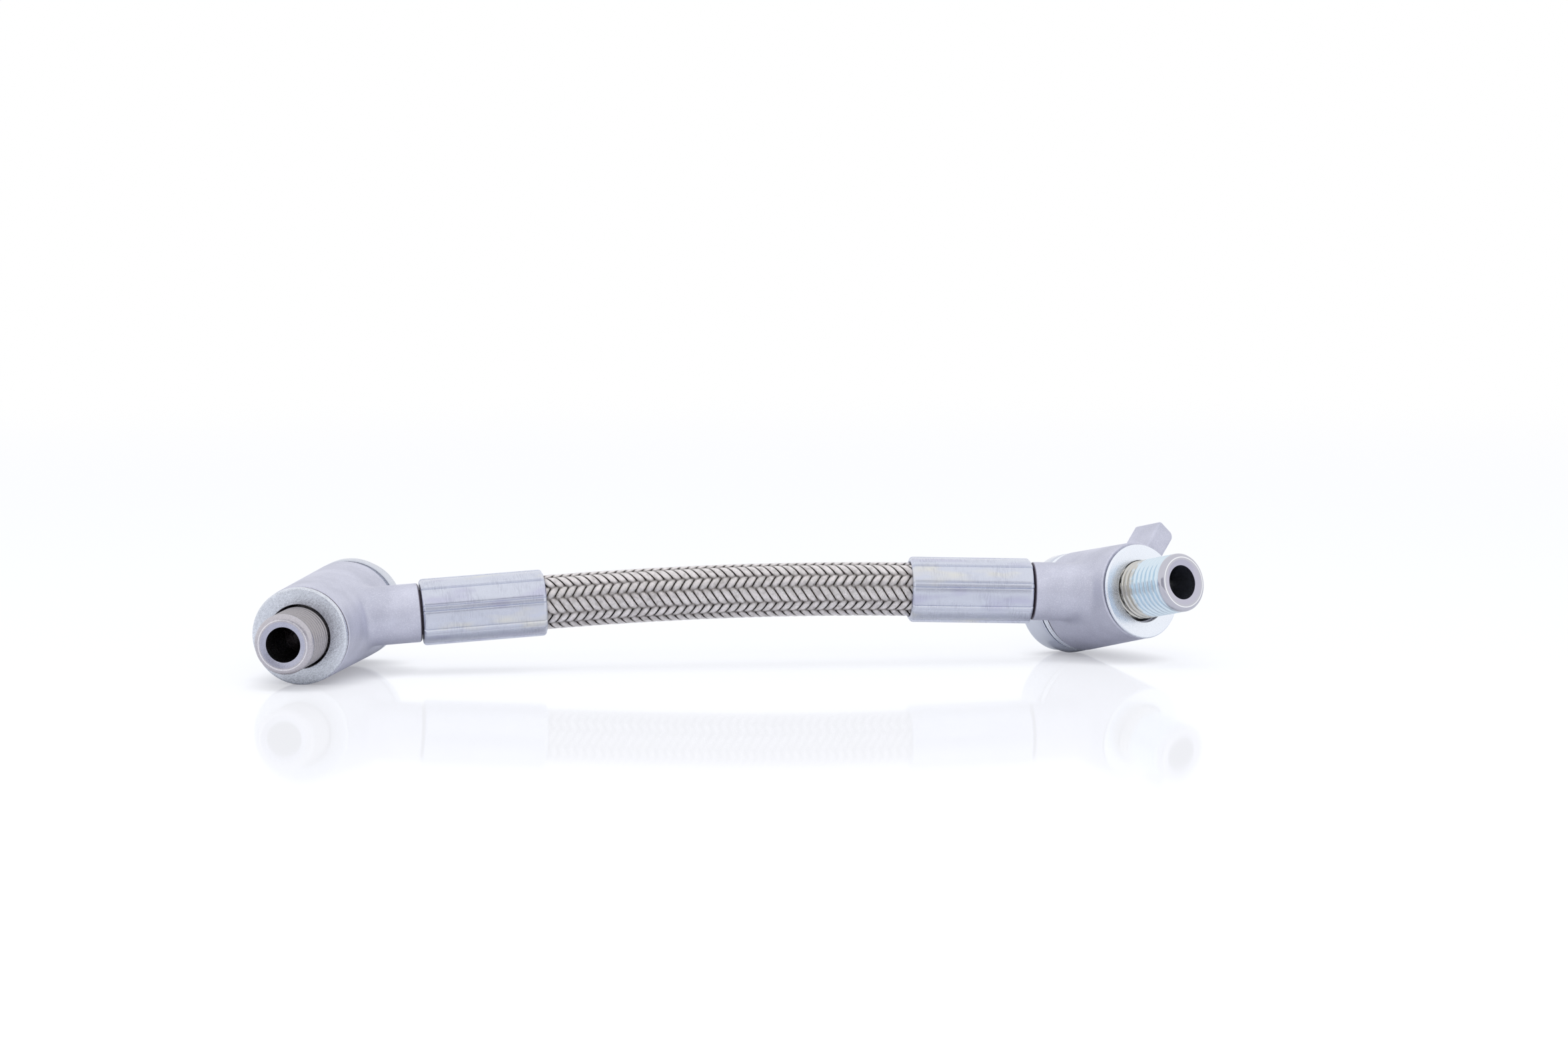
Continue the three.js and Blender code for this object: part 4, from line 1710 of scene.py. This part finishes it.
    def crimped_tail(self, pose: Pose, finish: bpy.types.Material) -> None:
        """Makes the stretch of braid that is pressed flat inside a ferrule."""
        bore, outer = HoseSizes.braid_bore / 2, HoseSizes.outer / 2
        low, high = HoseSizes.start, FerruleSizes.end - self.inside
        corners = [Corner(bore, low), Corner(outer, low, 0.2), Corner(outer, high, 0.2), Corner(bore, high)]
        piece = make_object(pose.plan.node("pressed_braid"), *turned(rounded(corners, True), 64, True))
        shade(piece, 40)
        place(piece, pose.neck)
        dress(piece, finish, "braided_steel")

    def build(self, finish: bpy.types.Material, rubber: bpy.types.Material) -> None:
        """Makes the strands of both hands and dresses the liner."""
        points = self.route()
        length = sum((b - a).length for a, b in zip(points, points[1:]))
        route = self.route_object(points)
        for hand in Hand:
            piece = make_object(f"braid_strands_{hand.name.lower()}_hand", np.zeros((1, 3)), [])
            self.strand_tree(hand, self.strand_inputs(hand, route, length, finish)).apply(piece)
            shade(piece, 80)
            dress(piece, finish, "braided_steel", "braid_sleeve")
        bpy.data.objects.remove(route, do_unlink=True)
        for pose in (self.left, self.right):
            self.crimped_tail(pose, finish)
        liner = frame["nodes"]["hose_liner"]
        liner.data.materials.clear()
        liner.data.materials.append(rubber)


# The room


@dataclass
class Studio:
    """A white glossy table in soft light, and the camera.

    Attributes:
        camera_place: Where the camera stands.
        pitch: How far it looks down.
        yaw: How far it looks aside.
        roll: How far it leans.
        focal_pixels: Its focal length in pixels of the picture.
        picture_width: Width of the picture in pixels.
        sensor: Width of its sensor.
        reach: Half the table's side in metres.
        table_tone: The table's tone as the camera sees it.
        table_as_light: Its tone for all other light.
        table_gloss: How much of the table's look is its gloss.
        table_lift: How much the table is lifted to white for the camera.
        contact_reach: How far from the object its contact shadow goes, in metres.
        fade: Distances in metres between which the table turns to the white backdrop.
        room_tone: Tone of the room's light.
        room_light: Strength of the room's light.
    """

    camera_place: Place = (10.314, -939.779, 121.819)
    pitch: float = 5.295
    yaw: float = 0.075
    roll: float = -0.136
    focal_pixels: float = 6000.0
    picture_width: float = 2353.0
    sensor: float = 36.0
    reach: float = 8.0
    table_tone: Tone = (0.96, 0.96, 0.97)
    table_as_light: Tone = (0.78, 0.78, 0.8)
    table_gloss: float = 0.16
    table_lift: float = 0.75
    contact_reach: float = 0.012
    fade: tuple[float, float] = (0.25, 1.1)
    room_tone: Tone = (0.95, 0.97, 1.0)
    room_light: float = 0.66

    def camera(self) -> None:
        """Makes the camera at the picture's viewing angle."""
        data = bpy.data.cameras.new("camera")
        data.sensor_width = self.sensor
        data.lens = self.focal_pixels / self.picture_width * self.sensor
        data.clip_start = 0.01
        data.clip_end = 100
        made = bpy.data.objects.new("camera", data)
        bpy.context.scene.collection.objects.link(made)
        pitch, yaw, roll = (math.radians(angle) for angle in (self.pitch, self.yaw, self.roll))
        forward = Vector((math.sin(yaw) * math.cos(pitch), math.cos(yaw) * math.cos(pitch), -math.sin(pitch)))
        level = Vector((math.cos(yaw), -math.sin(yaw), 0))
        upright = level.cross(forward)
        right = level * math.cos(roll) + upright * math.sin(roll)
        up = upright * math.cos(roll) - level * math.sin(roll)
        turn = Matrix((right, up, -forward)).transposed().to_4x4()
        made.matrix_world = Matrix.Translation(Vector(self.camera_place) * MM) @ turn
        bpy.context.scene.camera = made

    def card(self, name: str, corners: list[Place]) -> tuple[bpy.types.Object, NodeTree]:
        """Makes a flat stage piece.

        Args:
            name: The name of the piece and of its material.
            corners: Its four corners in metres.

        Returns:
            The piece and its material's empty node tree.
        """
        piece = make_object(name, np.array(corners), [(0, 1, 2, 3)])
        material = bpy.data.materials.new(name)
        piece.data.materials.append(material)
        return piece, NodeTree.emptied(material)

    def table(self) -> None:
        """Makes the white table, with a faint mirror image in its gloss and a soft contact shadow."""
        signs = ((-1, -1), (1, -1), (1, 1), (-1, 1))
        _, tree = self.card("table", [(x * self.reach, y * self.reach, 0) for x, y in signs])
        to_camera = tree.rays("Camera")
        tone = tree.mix(to_camera, self.table_as_light, self.table_tone)
        matte = tree.add("ShaderNodeBsdfDiffuse", {"Color": tone}).outputs[0]
        near = tree.value("ShaderNodeAmbientOcclusion", "AO", {"Distance": self.contact_reach}, samples=8)
        # Painted contact shadow: the table's glow for the camera darkens where ambient occlusion finds the
        # object close by.
        white = tree.glow(tree.ramp(near, [(0.1, (0.5, 0.5, 0.54)), (0.75, (0.99, 1.0, 1.05))]))
        pale = tree.blend(to_camera * self.table_lift, matte, white)
        gloss = tree.add("ShaderNodeBsdfGlossy", {"Color": (0.95, 0.975, 1.0), "Roughness": 0.06}).outputs[0]
        surface = tree.blend(self.table_gloss, pale, gloss)
        spot = tree.add("ShaderNodeTexCoord").outputs["Object"]
        distance = tree.value("ShaderNodeVectorMath", "Value", {0: spot}, operation="LENGTH")
        far = tree.span(distance, *self.fade) * tree.rays("Camera", "Glossy")
        surface = tree.blend(far, surface, tree.glow((1, 1, 1)))
        tree.add("ShaderNodeOutputMaterial", {"Surface": surface})

    def world(self) -> None:
        """Makes the room's light: white for what sees it straight or in a reflection, softer as light."""
        world = bpy.data.worlds.new("room")
        bpy.context.scene.world = world
        tree = NodeTree.emptied(world)
        light, white = (
            tree.add("ShaderNodeBackground", {"Color": colour, "Strength": strength}).outputs[0]
            for colour, strength in ((self.room_tone, self.room_light), ((1, 1, 1), 1.0))
        )
        surface = tree.blend(tree.rays("Camera", "Glossy", "Transmission"), light, white)
        tree.add("ShaderNodeOutputWorld", {"Surface": surface})

    def lamp(self, name: str, at: Place, power: float, size: float = 1.0) -> None:
        """Adds a soft square lamp that looks at the object.

        Args:
            name: The lamp's name.
            at: Its place in metres.
            power: Its power in watts.
            size: Its side in metres.
        """
        data = bpy.data.lights.new(name, "AREA")
        data.size = size
        data.energy = power
        made = bpy.data.objects.new(name, data)
        made.location = at
        made.rotation_euler = (-Vector(at)).to_track_quat("-Z", "Y").to_euler()
        made.visible_glossy = False
        bpy.context.scene.collection.objects.link(made)

    def flag(self, name: str, corners: list[Place], grey: float) -> None:
        """Adds a dark card that only reflections see, as the dark side of a studio is.

        Args:
            name: The card's name.
            corners: Its four corners in metres.
            grey: Its tone.
        """
        piece, tree = self.card(name, corners)
        piece.visible_camera = False
        piece.visible_diffuse = False
        piece.visible_shadow = False
        tree.add("ShaderNodeOutputMaterial", {"Surface": tree.glow((grey, grey, grey * 1.08))})

    def build(self) -> None:
        """Makes the whole room."""
        self.camera()
        self.table()
        self.world()
        self.lamp("top_light", (-0.1, -0.1, 1.1), 5.5)
        self.lamp("front_light", (0.3, -1.2, 0.6), 8.0)
        side, front, low, high = 0.9, -1.3, 0.05, 0.75
        corners = [(-side, front, low), (side, front, low), (side, front, high), (-side, front, high)]
        self.flag("front_flag", corners, 0.5)
        bpy.context.scene.view_settings.view_transform = "Standard"


def main() -> None:
    """Builds the line's pieces in order, then the room."""
    logging.basicConfig(level=logging.INFO, format="%(name)s %(message)s")
    left, right = Pose.of(LEFT_END), Pose.of(RIGHT_END)
    for pose in (left, right):
        # Only the left barrel gets the painted shade line at its front edge.
        line = 0.0 if pose.plan.has_lug else 1.0
        cast = CastFinish(pose.plan.node("cast_steel"), pose, front_shade=line)
        RingFitting(pose).build(cast.build())
        Ferrule(pose).build(CrimpFinish(pose.plan.node("crimped_steel"), pose.neck).build())
    grey = BoltFinish(
        "grey_bolt", left.matrix, inner=(0.36, 0.34, 0.35), thread=(0.41, 0.39, 0.41), tip=(0.57, 0.55, 0.60),
        dish=(0.50, 0.51, 0.63), edge=(0.90, 0.89, 0.94), highlight_radius=5.75, rear=(0.62, 0.65, 0.73),
        turn_start=3.0, tip_start=13.3, rear_end=-36.0, roughness=0.28, grain=0.9,
        depth=(0.015, 0.015, 0.02),
    ).build()
    blue = BoltFinish(
        "blue_bolt", right.matrix, inner=(0.62, 0.61, 0.58), thread=(0.68, 0.79, 0.88),
        tip=(0.54, 0.54, 0.61), dish=(0.53, 0.52, 0.62), edge=(0.96, 0.97, 1.0), highlight_radius=5.95,
        rear=(0.66, 0.69, 0.78), turn_start=4.8, tip_start=14.5, rear_end=-21.5, roughness=0.12,
        grain=0.1, depth=(0.32, 0.32, 0.41),
    ).build()
    HollowBolt(left, tip_round=1.6, collar=1.75, thread_depth=0.3).build(grey)
    HollowBolt(right, tip_round=1.08, collar=1.5, thread_depth=0.75).build(blue)
    rough = WasherFinish("left_washer_steel", left.matrix, (0.82, 0.86, 0.95), grain_depth=0.09,
                         grain_size=0.42, shade=0.72)
    Washers(left, front_round=0.6).build(rough.build())
    smooth = WasherFinish("right_washer_steel", right.matrix, (0.88, 0.92, 1.0), grain_depth=0.02,
                          grain_size=0.35, shade=0.94)
    Washers(right, front_round=0.35).build(smooth.build())
    Hose(left, right).build(WireFinish().build(), RubberFinish().build())
    Studio().build()


if __name__ == "__main__":
    main()
